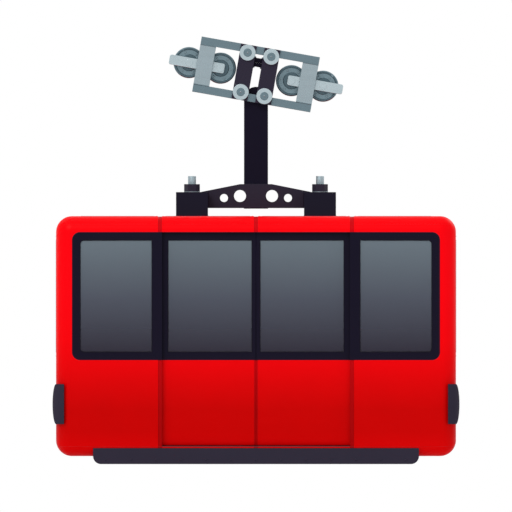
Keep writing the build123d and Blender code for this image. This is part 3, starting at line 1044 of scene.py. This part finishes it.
class StudField(Grower):
    """Low round studs in even rows over a rectangle."""

    name = "stud_field"
    sizes = {
        "Centre": "NodeSocketVector", **floats("Length", "Width", "Spacing", "Radius", "Height"),
    }
    stud_sides = 10
    taper = 0.8

    def rows(self, side: str) -> Socket:
        """How many rows fit along a side."""
        spaces = self.math("DIVIDE", self.given[side], self.given["Spacing"])
        return self.math("ADD", self.math("FLOOR", spaces), 1.0)

    def grown(self) -> Socket:
        """Count the rows that fit, and set a tapered stud on each crossing.

        Returns:
            The studs' geometry.
        """
        radius = self.given["Radius"]
        feeds = {
            "Size X": self.given["Length"], "Size Y": self.given["Width"],
            "Vertices X": self.rows("Length"), "Vertices Y": self.rows("Width"),
        }
        grid = self.out("GeometryNodeMeshGrid", feeds)
        feeds = {"Geometry": grid, "Translation": self.given["Centre"]}
        placed = self.out("GeometryNodeTransform", feeds)
        feeds = {
            "Vertices": self.stud_sides, "Radius Bottom": radius, "Depth": self.given["Height"],
            "Radius Top": self.math("MULTIPLY", radius, self.taper),
        }
        return self.instances(placed, self.out("GeometryNodeMeshCone", feeds), faced=False)


class SlatRow(Grower):
    """Slats of one size, evenly spaced along routes."""

    name = "slat_row"
    sizes = {"Size": "NodeSocketVector", **floats("Spacing")}

    def grown(self) -> Socket:
        """Set a slat on each step of the routes."""
        slat = self.out("GeometryNodeMeshCube", {"Size": self.given["Size"]})
        return self.instances(self.spaced(self.given["Spacing"]), slat, faced=False)


class Growers:
    """The trees, each built once."""

    def __init__(self) -> None:
        """Build every tree."""
        self.bolts = BoltRow()
        self.rivets = RivetRow()
        self.seals = SealRun()
        self.welds = WeldRun()
        self.threads = ThreadRun()
        self.studs = StudField()
        self.slats = SlatRow()


@dataclass(frozen=True)
class RopeAxes:
    """Places on the carriage: along the ropes, square to them, and out towards the front."""

    slope: float = math.radians(10.0)
    rope_to_axle: float = 0.12

    @property
    def along(self) -> Vector:
        """The ropes' direction, down towards +X."""
        return Vector((math.cos(self.slope), 0.0, -math.sin(self.slope)))

    @property
    def square(self) -> Vector:
        """Up, square to the ropes."""
        return Vector((math.sin(self.slope), 0.0, math.cos(self.slope)))

    def at(self, along: float, square: float = 0.0, out: float = 0.0) -> Vector:
        """A place by its distances from the carriage's middle."""
        middle = Vector((0.0, 0.0, self.rope_to_axle / math.cos(self.slope)))
        return middle + along * self.along + square * self.square + out * FRONT


def turned(form: Form, profile: Profile, foot: Vector, axis: Vector, sides: int = 24) -> None:
    """Add a turned solid to a mesh.

    Args:
        form: the mesh in the making.
        profile: radius and height of each step, from the foot up.
        foot: the middle of the foot.
        axis: where it stands up to.
        sides: how many faces go round it.
    """
    turn = axis.to_track_quat("Z", "Y").to_matrix().to_4x4()
    to_place = Matrix.Translation(foot) @ turn
    rings = []
    for radius, height in profile:
        ring = []
        for k in range(sides):
            angle = math.tau * k / sides
            point = Vector((radius * math.cos(angle), radius * math.sin(angle), height))
            ring.append(form.verts.new(to_place @ point))
        rings.append(ring)
    form.faces.new(list(reversed(rings[0])))
    form.faces.new(rings[-1])
    for low, high in zip(rings, rings[1:]):
        for k in range(sides):
            after = (k + 1) % sides
            form.faces.new((low[k], low[after], high[after], high[k]))


def block(form: Form, low: Vector, high: Vector) -> None:
    """Add a block to a mesh.

    Args:
        form: the mesh in the making.
        low: its lowest corner.
        high: its highest corner.
    """
    size = high - low
    place = Matrix.Translation((low + high) / 2) @ Matrix.Diagonal((*size, 1.0))
    bmesh.ops.create_cube(form, size=1.0, matrix=place)


def circle(
    centre: Vector, radius: float, first: Vector, second: Vector, steps: int = 40,
) -> list[Vector]:
    """Place points round a circle.

    Args:
        centre: its centre.
        radius: its radius.
        first: one direction in its plane.
        second: the direction in its plane that is square to the first.
        steps: how many points it has.

    Returns:
        The points.
    """
    angles = [math.tau * k / steps for k in range(steps)]
    return [centre + radius * (math.cos(a) * first + math.sin(a) * second) for a in angles]


def span(middle: Vector, reach: float, direction: Vector) -> list[Vector]:
    """The two points at a reach to both sides of a middle."""
    return [middle + k * reach * direction for k in BOTH_SIDES]


@dataclass
class Carriage(Assembly):
    """The frame on the ropes, with its link plates and pins and the haul rope's clamp.

    Attributes:
        axes: places on the carriage.
    """

    axes: RopeAxes
    upright_place: float = 0.52
    upright_half: float = 0.08
    joint_height: float = 0.20
    frame_outside: float = 0.150
    frame_inside: float = 0.110
    weld_radius: float = 0.005
    weld_ripple: float = 0.008
    pin_place: float = 0.12
    pin_end: float = 0.200
    clamp_top: float = 0.165
    clamp_underside: float = 0.075
    clamp_bolt_row: float = 0.070
    clamp_bolt_reach: float = 0.130
    clamp_bolt_spacing: float = 0.0866
    clamp_bolt_radius: float = 0.015
    clamp_bolt_height: float = 0.013
    clamp_half_length: float = 0.178
    packing_inner: float = 0.045
    packing_outer: float = 0.107
    packing_half_thick: float = 0.0019
    nipple_sides: int = 16
    nipple_profile: Profile = (
        (0.009, 0.0), (0.009, 0.004), (0.0045, 0.0055), (0.0035, 0.008), (0.0055, 0.0105),
        (0.003, 0.0135),
    )

    def build(self) -> None:
        """Dress the frame and add its welds, grease nipples and clamp bolts."""
        for node, finish, edge in (
            ("carriage_rails", FRAME, 0.003),
            ("carriage_uprights", LIGHT, 0.003),
            ("carriage_links", CHARCOAL, 0.003),
            ("carriage_ties", PIN, 0.002),
            ("link_pins", PIN, 0.002),
            ("link_pin_rings", BRIGHT, 0.002),
            ("rocker_pins", PIN, 0.001),
            ("rope_clamp", BLACK, 0.002),
            ("hanger_pin", PIN, 0.002),
        ):
            self.refine(node, finish, edge)
        self.add_welds()
        self.add_nipples()
        self.add_clamp_bolts()
        self.add_clamp_packing()

    def add_welds(self) -> None:
        """Weld the uprights to the rails, on both faces of each side frame."""
        routes = []
        depths = (self.frame_inside, self.frame_outside)
        faces = [side * depth for depth in depths for side in BOTH_SIDES]
        for side, level in CORNERS:
            ends = [side * self.upright_place + k * self.upright_half for k in BOTH_SIDES]
            height = level * self.joint_height
            routes += [Route([self.axes.at(end, height, out) for end in ends]) for out in faces]
        self.grow(
            self.growers.welds, "carriage_welds", routes, FRAME, Radius=self.weld_radius,
            Ripple=self.weld_ripple,
        )

    def add_nipples(self) -> None:
        """Screw a grease nipple into the end of each link pin."""
        form = bmesh.new()
        for out in BOTH_SIDES:
            for end, level in CORNERS:
                along, square = end * self.pin_place, level * self.joint_height
                foot = self.axes.at(along, square, out * self.pin_end)
                turned(form, self.nipple_profile, foot, out * FRONT, self.nipple_sides)
        self.add(form, "link_pin_grease_nipples", ZINC, edge=0.0004)

    def add_clamp_bolts(self) -> None:
        """Bolt the clamp's jaws together from above and below."""
        routes = []
        up = self.axes.square
        for square, facing in ((self.clamp_top, up), (self.clamp_underside, -up)):
            for row in BOTH_SIDES:
                out = row * self.clamp_bolt_row
                ends = [self.axes.at(k * self.clamp_bolt_reach, square, out) for k in BOTH_SIDES]
                routes.append(Route(ends, facing))
        self.grow(
            self.growers.bolts, "rope_clamp_bolts", routes, ZINC,
            Spacing=self.clamp_bolt_spacing, Radius=self.clamp_bolt_radius,
            Height=self.clamp_bolt_height,
        )

    def add_clamp_packing(self) -> None:
        """Lay a packing strip between the clamp's jaws, on both sides of the rope's groove."""
        form = bmesh.new()
        turn = Matrix.Rotation(self.axes.slope, 4, "Y")
        width = self.packing_outer - self.packing_inner
        size = (2 * self.clamp_half_length, width, 2 * self.packing_half_thick)
        stretch = Matrix.Diagonal((*size, 1.0))
        for side in BOTH_SIDES:
            depth = side * (self.packing_inner + width / 2)
            middle = self.axes.at(0.0, self.axes.rope_to_axle, depth)
            place = Matrix.Translation(middle) @ turn @ stretch
            bmesh.ops.create_cube(form, size=1.0, matrix=place)
        self.add(form, "rope_clamp_packing", LINER, edge=0.0004)


@dataclass
class Rocker(Assembly):
    """A pair of beams that carries two rope wheels on its axles."""

    beam_outside: float = 0.1005

    def build(self) -> None:
        """Dress the beams and axles. The axles' caps have the beams' finish."""
        self.refine(f"{self.body}_beams", BRIGHT, edge=0.003)
        self.refine(
            f"{self.body}_axles", PIN, edge=0.001, other=BRIGHT,
            where=lambda face: abs(face.calc_center_median().y) > self.beam_outside,
        )


@dataclass
class RopeWheel(Assembly):
    """A grooved wheel with a lined core between two bolted half wheels.

    Attributes:
        axes: places on the carriage.
        along: its axle's place along the carriage.
    """

    axes: RopeAxes
    along: float
    hub_radius: float = 0.0805
    hub_face: float = 0.0505
    liner_radius: float = 0.078
    web_face: float = 0.050
    bolt_circle: float = 0.108
    bolt_count: int = 6
    bolt_radius: float = 0.011
    bolt_height: float = 0.009

    def build(self) -> None:
        """Dress the core and the half wheels, and bolt them together."""
        centre = self.axes.at(self.along)

        def from_axle(face: Face) -> float:
            """A face's distance from the axle's line."""
            middle = face.calc_center_median()
            return math.hypot(middle.x - centre.x, middle.z - centre.z)

        def on_liner(face: Face) -> bool:
            """Whether a face lies in the rope's groove."""
            return from_axle(face) > self.liner_radius

        def on_hub(face: Face) -> bool:
            """Whether a face belongs to the raised hub."""
            outside = abs(face.calc_center_median().y) > self.hub_face
            return outside and from_axle(face) < self.hub_radius

        self.refine(f"{self.body}_core", PIN, edge=0.001, other=LINER, where=on_liner)
        self.refine(f"{self.body}_flanges", WHEEL, edge=0.0015, other=HUB, where=on_hub)
        routes = []
        for out in BOTH_SIDES:
            middle = centre + out * self.web_face * FRONT
            ring = circle(middle, self.bolt_circle, self.axes.along, self.axes.square)
            routes.append(Route(ring, out * FRONT, closed=True))
        self.grow(
            self.growers.bolts, f"{self.body}_bolts", routes, WHEEL,
            Spacing=math.tau * self.bolt_circle / self.bolt_count, Radius=self.bolt_radius,
            Height=self.bolt_height,
        )


@dataclass
class Hanger(Assembly):
    """The arm, its cross beams and the mounts that hold the cabin's roof."""

    roof_height: float = -1.295
    mount_height: float = 0.240
    beam_top: float = -0.975
    beam_underside: float = -1.215
    beam_inside: float = 0.090
    beam_outside: float = 0.130
    arm_half_width: float = 0.120
    weld_radius: float = 0.006
    weld_ripple: float = 0.010
    mount_inner: float = 0.480
    mount_length: float = 0.320
    mount_gap_half: float = 0.180
    mount_base_half: float = 0.420
    mount_seal_radius: float = 0.005
    hole_table: tuple[tuple[float, float, float], ...] = (
        (0.160, 0.121, 0.060), (0.320, 0.101, 0.040),
    )
    hole_lip: float = 0.004
    stud_place: tuple[float, float] = (0.640, 0.250)
    stud_foot: float = -0.972
    stud_radius: float = 0.0385
    thread_turns: float = 11.0
    thread_height: float = 0.070
    thread_depth: float = 0.003
    washer_sides: int = 48
    washer_profile: Profile = ((0.0795, 0.0), (0.0795, 0.005), (0.078, 0.0062))

    def build(self) -> None:
        """Dress the hanger and add its welds, hole lips, washers, threads and sealing beads."""
        for node, finish, edge in (
            ("hanger_arm", BLACK, 0.004),
            ("hanger_beams", CHARCOAL, 0.003),
            ("roof_mounts", BLACK, 0.004),
            ("roof_studs", STUD, 0.003),
            ("roof_nuts", CHARCOAL, 0.004),
        ):
            self.refine(node, finish, edge)
        self.add_welds()
        self.add_hole_lips()
        self.add_stud_details()
        self.add_mount_seals()

    def add_welds(self) -> None:
        """Weld the beams to the arm and to the mounts."""
        routes = []
        for side in BOTH_SIDES:
            for height in (self.beam_top, self.beam_underside):
                middle = Vector((0.0, side * self.beam_inside, height))
                routes.append(Route(span(middle, self.arm_half_width, SIDEWAYS)))
            for end in BOTH_SIDES:
                place = Vector((end * self.mount_inner, side * self.beam_outside, 0.0))
                heights = (self.beam_underside, self.roof_height + self.mount_height)
                routes.append(Route([place + height * UP for height in heights]))
        self.grow(
            self.growers.welds, "hanger_welds", routes, BLACK, Radius=self.weld_radius,
            Ripple=self.weld_ripple,
        )

    def add_hole_lips(self) -> None:
        """Roll a lip round each lightening hole of the beams."""
        routes = []
        for place, rise, radius in self.hole_table:
            for end, side in CORNERS:
                height = self.beam_underside + rise
                centre = Vector((end * place, side * self.beam_outside, height))
                ring = circle(centre, radius + self.hole_lip, SIDEWAYS, UP)
                routes.append(Route(ring, closed=True))
        self.grow(self.growers.seals, "beam_hole_lips", routes, CHARCOAL, Radius=self.hole_lip)

    def add_stud_details(self) -> None:
        """Cut a thread on each stud's end and put a washer under each nut."""
        form = bmesh.new()
        feet = []
        for end, side in CORNERS:
            across = Vector((end * self.stud_place[0], side * self.stud_place[1], 0.0))
            feet.append(across + self.stud_foot * UP)
            seat = across + (self.roof_height + self.mount_height) * UP
            turned(form, self.washer_profile, seat, UP, self.washer_sides)
        self.add(form, "roof_nut_washers", WASHER, edge=0.0008)
        self.grow(
            self.growers.threads, "roof_stud_threads", [Route(feet)], STUD,
            Radius=self.stud_radius, Turns=self.thread_turns, Height=self.thread_height,
            Depth=self.thread_depth,
        )

    def add_mount_seals(self) -> None:
        """Run a sealing bead round each mount's foot."""
        routes = []
        for end, side in CORNERS:
            xs = (end * self.mount_inner, end * (self.mount_inner + self.mount_length))
            ys = (side * self.mount_gap_half, side * self.mount_base_half)
            corners = ((xs[0], ys[0]), (xs[0], ys[1]), (xs[1], ys[1]), (xs[1], ys[0]))
            points = [Vector((x, y, self.roof_height)) for x, y in corners]
            routes.append(Route(points, closed=True))
        self.grow(
            self.growers.seals, "roof_mount_seals", routes, SEAL, Radius=self.mount_seal_radius
        )


@dataclass(frozen=True)
class Wall:
    """The plane of a wall that holds panes.

    Attributes:
        foot: where places along it and heights start.
        along: the direction of places along it.
        facing: where it faces.
    """

    foot: Vector
    along: Vector
    facing: Vector

    def at(self, along: float, height: float) -> Vector:
        """The point at a place along the wall and a height."""
        return self.foot + along * self.along + height * UP


@dataclass(frozen=True)
class Pane:
    """A pane's edges in the plane of its wall, and the radius of its two outer corners."""

    low: float
    high: float
    bottom: float = -2.655
    top: float = -1.535
    corner: float = 0.0

    def outline(self, wall: Wall) -> Route:
        """A route round the pane.

        Args:
            wall: what it stands in.

        Returns:
            A closed route with the pane's corner radii.
        """
        bottom = [wall.at(self.low, self.bottom), wall.at(self.high, self.bottom)]
        top = [wall.at(self.high, self.top), wall.at(self.low, self.top)]
        corners = (0.0, self.corner, self.corner, 0.0)
        return Route(bottom + top, closed=True, corners=corners)

    def frame_line(self, wall: Wall, margin: float) -> Route:
        """A route along the frame above, beside and below the pane.

        Args:
            wall: what it stands in.
            margin: how far outside the pane's edge the route runs.

        Returns:
            An open route.
        """
        beside, above, below = self.high + margin, self.top + margin, self.bottom - margin
        places = ((self.low, above), (beside, above), (beside, below), (self.low, below))
        return Route([wall.at(*place) for place in places], wall.facing)


SIDE_PANE = Pane(1.04, 1.76, corner=0.04)
END_PANE = Pane(0.04, 0.86, corner=0.04)
LEAF_PANE = Pane(0.04, 0.88)
CABIN_MIDDLE = Vector((0.0, 0.0, -2.5))
INNER_DEPTH = 0.3
DOORWAY_HALF = 1.30
STEEP = 0.7


def faces_in(face: Face) -> bool:
    """Tell whether a face of the shell looks into the cabin.

    Args:
        face: the face.

    Returns:
        Whether it does. The doorway's sides don't.
    """
    centre = face.calc_center_median()
    in_doorway = abs(centre.x) < DOORWAY_HALF and abs(face.normal.x) > STEEP
    return not in_doorway and face.normal.dot(centre - CABIN_MIDDLE) < -INNER_DEPTH


@dataclass
class Shell(Assembly):
    """The cabin's roof, ends, jambs, window frames and fixed glass."""

    half_width: float = 1.100
    half_length: float = 2.000
    seal_inset: float = 0.004
    seal_radius: float = 0.006
    screw_margin: float = 0.040
    screw_spacing: float = 0.185
    screw_radius: float = 0.006
    screw_height: float = 0.0022
    roof_height: float = -1.295
    rivet_reach: float = 0.90
    rivet_offset: float = 0.034
    rivet_spacing: float = 0.075
    rivet_radius: float = 0.006
    rivet_height: float = 0.002
    pad_table: Profile = ((-1.75, -1.02), (-0.90, -0.06), (0.06, 0.90), (1.02, 1.75))
    pad_inner: float = 0.52
    pad_outer: float = 0.86
    pad_thick: float = 0.0015
    pad_corner: float = 0.03
    pad_corner_steps: int = 5

    def build(self) -> None:
        """Dress the shell and add its seals, screws, rivets and roof pads."""
        roofs = ("roof_left", "roof_middle", "roof_right")
        ends = ("end_left", "end_right", "end_headers")
        walls = ("door_lintels", "door_jambs", "floor_pan")
        for node in (*roofs, *ends, *walls):
            self.refine(node, RED_SHELL, edge=0.0015, other=LINING, where=faces_in)
        self.refine("window_frames", TRIM, edge=0.0015)
        self.refine("window_glass", GLASS, edge=0.001)
        self.add_window_seals()
        self.add_roof_rivets()
        self.add_roof_pads()

    def panes(self, inset: float) -> list[tuple[Pane, Wall]]:
        """List the fixed panes.

        Args:
            inset: how far behind the wall's outer face the points lie.

        Returns:
            Each pane with its wall.
        """
        found = []
        for side in BOTH_SIDES:
            for end in BOTH_SIDES:
                outward, endward = Vector((0.0, side, 0.0)), Vector((end, 0.0, 0.0))
                long_wall = Wall((self.half_width - inset) * outward, endward, outward)
                end_wall = Wall((self.half_length - inset) * endward, outward, endward)
                found += [(SIDE_PANE, long_wall), (END_PANE, end_wall)]
        return found

    def add_window_seals(self) -> None:
        """Seal each fixed pane into its frame, and screw the frames down."""
        routes = [pane.outline(wall) for pane, wall in self.panes(self.seal_inset)]
        self.grow(self.growers.seals, "window_seals", routes, SEAL, Radius=self.seal_radius)
        routes = [pane.frame_line(wall, self.screw_margin) for pane, wall in self.panes(0.0)]
        self.grow(
            self.growers.rivets, "window_frame_screws", routes, TRIM,
            Spacing=self.screw_spacing, Radius=self.screw_radius, Height=self.screw_height,
        )

    def add_roof_rivets(self) -> None:
        """Rivet the roof's panels on both sides of each seam."""
        routes = []
        for seam in SEAM_PLACES:
            for side in BOTH_SIDES:
                middle = Vector((seam + side * self.rivet_offset, 0.0, self.roof_height))
                routes.append(Route(span(middle, self.rivet_reach, FRONT)))
        self.grow(
            self.growers.rivets, "roof_rivets", routes, RED_SHELL, Spacing=self.rivet_spacing,
            Radius=self.rivet_radius, Height=self.rivet_height,
        )

    def add_roof_pads(self) -> None:
        """Lay gritted walkway pads on the roof, beside the mounts."""
        form = bmesh.new()
        base, top = self.roof_height - self.pad_thick, self.roof_height + self.pad_thick
        for low, high in self.pad_table:
            for side in BOTH_SIDES:
                inner, outer = sorted((side * self.pad_inner, side * self.pad_outer))
                block(form, Vector((low, inner, base)), Vector((high, outer, top)))
        uprights = [edge for edge in form.edges if edge.verts[0].co.z != edge.verts[1].co.z]
        bmesh.ops.bevel(
            form, geom=uprights, offset=self.pad_corner, segments=self.pad_corner_steps,
            profile=0.5, affect="EDGES",
        )
        self.add(form, "roof_walkway_pads", GRIT, edge=0.0007)


@dataclass
class DoorLeaf(Assembly):
    """One sliding door leaf: a curved panel, a window frame and its glass.

    Attributes:
        depth: -1 on the front, 1 on the back.
        hand: -1 on the left, 1 on the right.
    """

    depth: float
    hand: float
    outside: float = 1.044
    half_width: float = 1.100
    seal_inset: float = 0.004
    seal_radius: float = 0.006
    nose_place: float = 0.0029
    nose_radius: float = 0.0031
    side_radius: float = 2.600
    leaf_depth: float = 0.076
    belt_height: float = -2.735
    foot_height: float = -3.584
    header_height: float = -1.452
    curve_steps: int = 12

    def build(self) -> None:
        """Dress the leaf and seal its pane and its nose."""
        self.refine(f"{self.body}_panel", RED_LEAF, edge=0.0012, other=LINING, where=faces_in)
        self.refine(f"{self.body}_frame", TRIM, edge=0.0012)
        self.refine(f"{self.body}_glass", GLASS, edge=0.001)
        outward, across = Vector((0.0, self.depth, 0.0)), Vector((self.hand, 0.0, 0.0))
        wall = Wall((self.outside - self.seal_inset) * outward, across, outward)
        for name, route, finish, radius in (
            ("pane_seal", LEAF_PANE.outline(wall), SEAL, self.seal_radius),
            ("nose_seal", Route(self.nose_line()), NOSE, self.nose_radius),
        ):
            self.grow(self.growers.seals, f"{self.body}_{name}", [route], finish, Radius=radius)

    def nose_line(self) -> list[Vector]:
        """Find points down the leaf's nose, along the curve of the cabin's side.

        Returns:
            The points, from the header down to the leaf's foot.
        """
        radius = self.side_radius - self.leaf_depth
        middle = self.half_width - self.side_radius
        lowest = math.asin((self.belt_height - self.foot_height) / radius)
        places = [(self.outside, self.header_height)]
        for k in range(self.curve_steps + 1):
            angle = lowest * k / self.curve_steps
            height = self.belt_height - radius * math.sin(angle)
            places.append((middle + radius * math.cos(angle), height))
        nose = self.hand * self.nose_place
        return [Vector((nose, self.depth * across, height)) for across, height in places]


@dataclass
class Underside(Assembly):
    """The skid under the floor and the bumpers at the ends."""

    skid_half_width: float = 0.950
    rivet_reach: float = 1.500
    rivet_row_height: float = -3.735
    rivet_spacing: float = 0.25
    rivet_radius: float = 0.012
    rivet_height: float = 0.005
    rib_reach: float = 1.35
    rib_row_height: float = -3.703
    rib_spacing: float = 0.30
    rib_size: tuple[float, float, float] = (0.04, 1.60, 0.016)

    def build(self) -> None:
        """Dress the skid and bumpers, and add the skid's rivets and the floor's ribs."""
        self.refine("skid", CHARCOAL, edge=0.004)
        self.refine("bumpers", RUBBER, edge=0.003)
        routes = []
        for side in BOTH_SIDES:
            middle = Vector((0.0, side * self.skid_half_width, self.rivet_row_height))
            routes.append(Route(span(middle, self.rivet_reach, SIDEWAYS), -side * FRONT))
        self.grow(
            self.growers.rivets, "skid_rivets", routes, CHARCOAL, Spacing=self.rivet_spacing,
            Radius=self.rivet_radius, Height=self.rivet_height,
        )
        ribs = Route(span(self.rib_row_height * UP, self.rib_reach, SIDEWAYS))
        self.grow(
            self.growers.slats, "floor_ribs", [ribs], RED_SHELL, Spacing=self.rib_spacing,
            Size=self.rib_size,
        )


@dataclass
class Interior(Assembly):
    """What shows through the glass: floor, benches, rails, door tracks and ceiling lamps."""

    floor_top: float = -3.594
    ceiling: float = -1.345
    pole_place: tuple[float, float] = (1.450, 0.500)
    mat_margin: float = 0.04
    mat_stud_spacing: float = 0.055
    mat_stud_radius: float = 0.012
    mat_stud_height: float = 0.003
    mat_stud_lift: float = 0.001
    seat_top: float = -3.150
    slat_places: tuple[float, float] = (1.595, 1.880)
    slat_spacing: float = 0.057
    slat_size: tuple[float, float, float] = (0.045, 1.50, 0.016)
    slat_lift: float = 0.006
    flange_profile: Profile = ((0.045, 0.0), (0.045, 0.004), (0.024, 0.010), (0.019, 0.014))
    lamp_place: float = 0.28
    lamp_half: tuple[float, float] = (1.20, 0.06)
    lamp_thick: float = 0.022

    def build(self) -> None:
        """Dress the inside and add its studs, slats, flanges and lamps."""
        for node, finish, edge in (
            ("door_headers", ALLOY, 0.0015),
            ("door_sills", SILL, 0.001),
            ("floor_mat", MAT, 0.0015),
            ("benches", BENCH, 0.006),
            ("grab_poles", TUBE, 0.001),
            ("grab_rails", TUBE, 0.001),
        ):
            self.refine(node, finish, edge)
        self.add_mat_studs()
        self.add_bench_slats()
        self.add_rail_flanges()
        self.add_lamps()

    def add_mat_studs(self) -> None:
        """Stud the floor mat."""
        low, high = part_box("floor_mat")
        centre = ((low.x + high.x) / 2, (low.y + high.y) / 2, high.z + self.mat_stud_lift)
        size = high - low - 2 * self.mat_margin * Vector((1.0, 1.0, 0.0))
        self.grow(
            self.growers.studs, "floor_mat_studs", [Route([Vector(centre)])], MAT, Centre=centre,
            Length=size.x, Width=size.y, Spacing=self.mat_stud_spacing,
            Radius=self.mat_stud_radius, Height=self.mat_stud_height,
        )

    def add_bench_slats(self) -> None:
        """Lay slats on both benches."""
        height = self.seat_top + self.slat_lift
        routes = []
        for side in BOTH_SIDES:
            ends = [side * place * SIDEWAYS + height * UP for place in self.slat_places]
            routes.append(Route(ends))
        self.grow(
            self.growers.slats, "bench_slats", routes, BENCH, Spacing=self.slat_spacing,
            Size=self.slat_size,
        )

    def add_rail_flanges(self) -> None:
        """Fix the poles to the floor and the ceiling with round flanges."""
        form = bmesh.new()
        for end, side in CORNERS:
            across = Vector((end * self.pole_place[0], side * self.pole_place[1], 0.0))
            turned(form, self.flange_profile, across + self.floor_top * UP, UP)
            turned(form, self.flange_profile, across + self.ceiling * UP, -UP)
        self.add(form, "pole_flanges", TUBE, edge=0.0008)

    def add_lamps(self) -> None:
        """Fix two long lamps under the ceiling."""
        form = bmesh.new()
        half_length, half_width = self.lamp_half
        for side in BOTH_SIDES:
            middle = side * self.lamp_place
            low = Vector((-half_length, middle - half_width, self.ceiling - self.lamp_thick))
            high = Vector((half_length, middle + half_width, self.ceiling))
            block(form, low, high)
        self.add(form, "ceiling_lamps", LAMP, edge=0.008, segments=3)


@dataclass(frozen=True)
class Studio:
    """The camera, the lights, the world and the floor."""

    frame_size: float = 5.12
    frame_centre: float = -1.694
    camera_distance: float = 14.0
    floor_height: float = -4.27
    floor_half: float = 60.0
    sky: float = 0.72
    key_strength: float = 0.95
    key_direction: tuple[float, float, float] = (0.35, 0.72, -0.6)
    fill_strength: float = 0.45
    fill_direction: tuple[float, float, float] = (-0.5, -0.7, -0.5)
    lamp_angle: float = math.radians(28.0)

    def build(self) -> None:
        """Set the studio up."""
        self.add_camera()
        self.add_floor()
        self.add_sky()
        self.add_lamp("key_light", self.key_strength, self.key_direction)
        self.add_lamp("fill_light", self.fill_strength, self.fill_direction)
        bpy.context.scene.view_settings.view_transform = "Standard"

    def add_camera(self) -> None:
        """Look at the cabin's side, level, without perspective, as in the picture."""
        data = bpy.data.cameras.new("camera")
        data.type = "ORTHO"
        data.ortho_scale = self.frame_size
        camera = link(bpy.data.objects.new("camera", data))
        camera.location = (0.0, -self.camera_distance, self.frame_centre)
        camera.rotation_euler = (math.radians(90.0), 0.0, 0.0)
        bpy.context.scene.camera = camera

    def add_floor(self) -> None:
        """Lay a plain pale floor below the hanging cabin."""
        half, height = self.floor_half, self.floor_height
        mesh = bpy.data.meshes.new("studio_floor")
        places = ((-half, -half), (half, -half), (half, half), (-half, half))
        mesh.from_pydata([(*place, height) for place in places], [], [(0, 1, 2, 3)])
        mesh.materials.append(FLOOR.material)
        link(bpy.data.objects.new("studio_floor", mesh))

    def add_sky(self) -> None:
        """Light evenly from all round, with a white background for the camera, gloss and glass."""
        world = bpy.data.worlds.new("studio")
        world.use_nodes = True
        bpy.context.scene.world = world
        wiring = Wiring(world.node_tree)
        path = wiring.add("ShaderNodeLightPath").outputs
        seen = wiring.math("MAXIMUM", path["Is Camera Ray"], path["Is Glossy Ray"])
        seen = wiring.math("MAXIMUM", seen, path["Is Transmission Ray"])
        strength = wiring.math("MULTIPLY_ADD", seen, 1.0 - self.sky, self.sky)
        background = world.node_tree.nodes["Background"]
        wiring.feed(background.inputs["Color"], (1.0, 1.0, 1.0, 1.0))
        wiring.feed(background.inputs["Strength"], strength)

    def add_lamp(self, name: str, strength: float, direction: tuple[float, float, float]) -> None:
        """Add a broad soft lamp.

        Args:
            name: its name.
            strength: its strength.
            direction: where it shines.
        """
        data = bpy.data.lights.new(name, "SUN")
        data.energy = strength
        data.angle = self.lamp_angle
        lamp = link(bpy.data.objects.new(name, data))
        lamp.rotation_euler = Vector(direction).to_track_quat("-Z", "Y").to_euler()


def clear_scene() -> None:
    """Delete what a new file starts with."""
    for obj in list(bpy.data.objects):
        bpy.data.objects.remove(obj)


def main() -> None:
    """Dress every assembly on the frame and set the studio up."""
    logging.basicConfig(level=logging.INFO, format="%(name)s: %(message)s")
    clear_scene()
    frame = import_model()
    axes = RopeAxes()
    growers = Growers()

    Carriage(frame, growers, "carriage", axes).build()
    for side, hand in (("left", -1.0), ("right", 1.0)):
        Rocker(frame, growers, f"rocker_{side}").build()
        for reach, along in WHEEL_PLACES.items():
            RopeWheel(frame, growers, f"wheel_{side}_{reach}", axes, hand * along).build()
        for face, depth in (("front", -1.0), ("back", 1.0)):
            DoorLeaf(frame, growers, f"door_{face}_{side}", depth, hand).build()
    for part in (Hanger, Shell, Underside, Interior):
        part(frame, growers, "cabin").build()
    Studio().build()


if __name__ == "__main__":
    main()
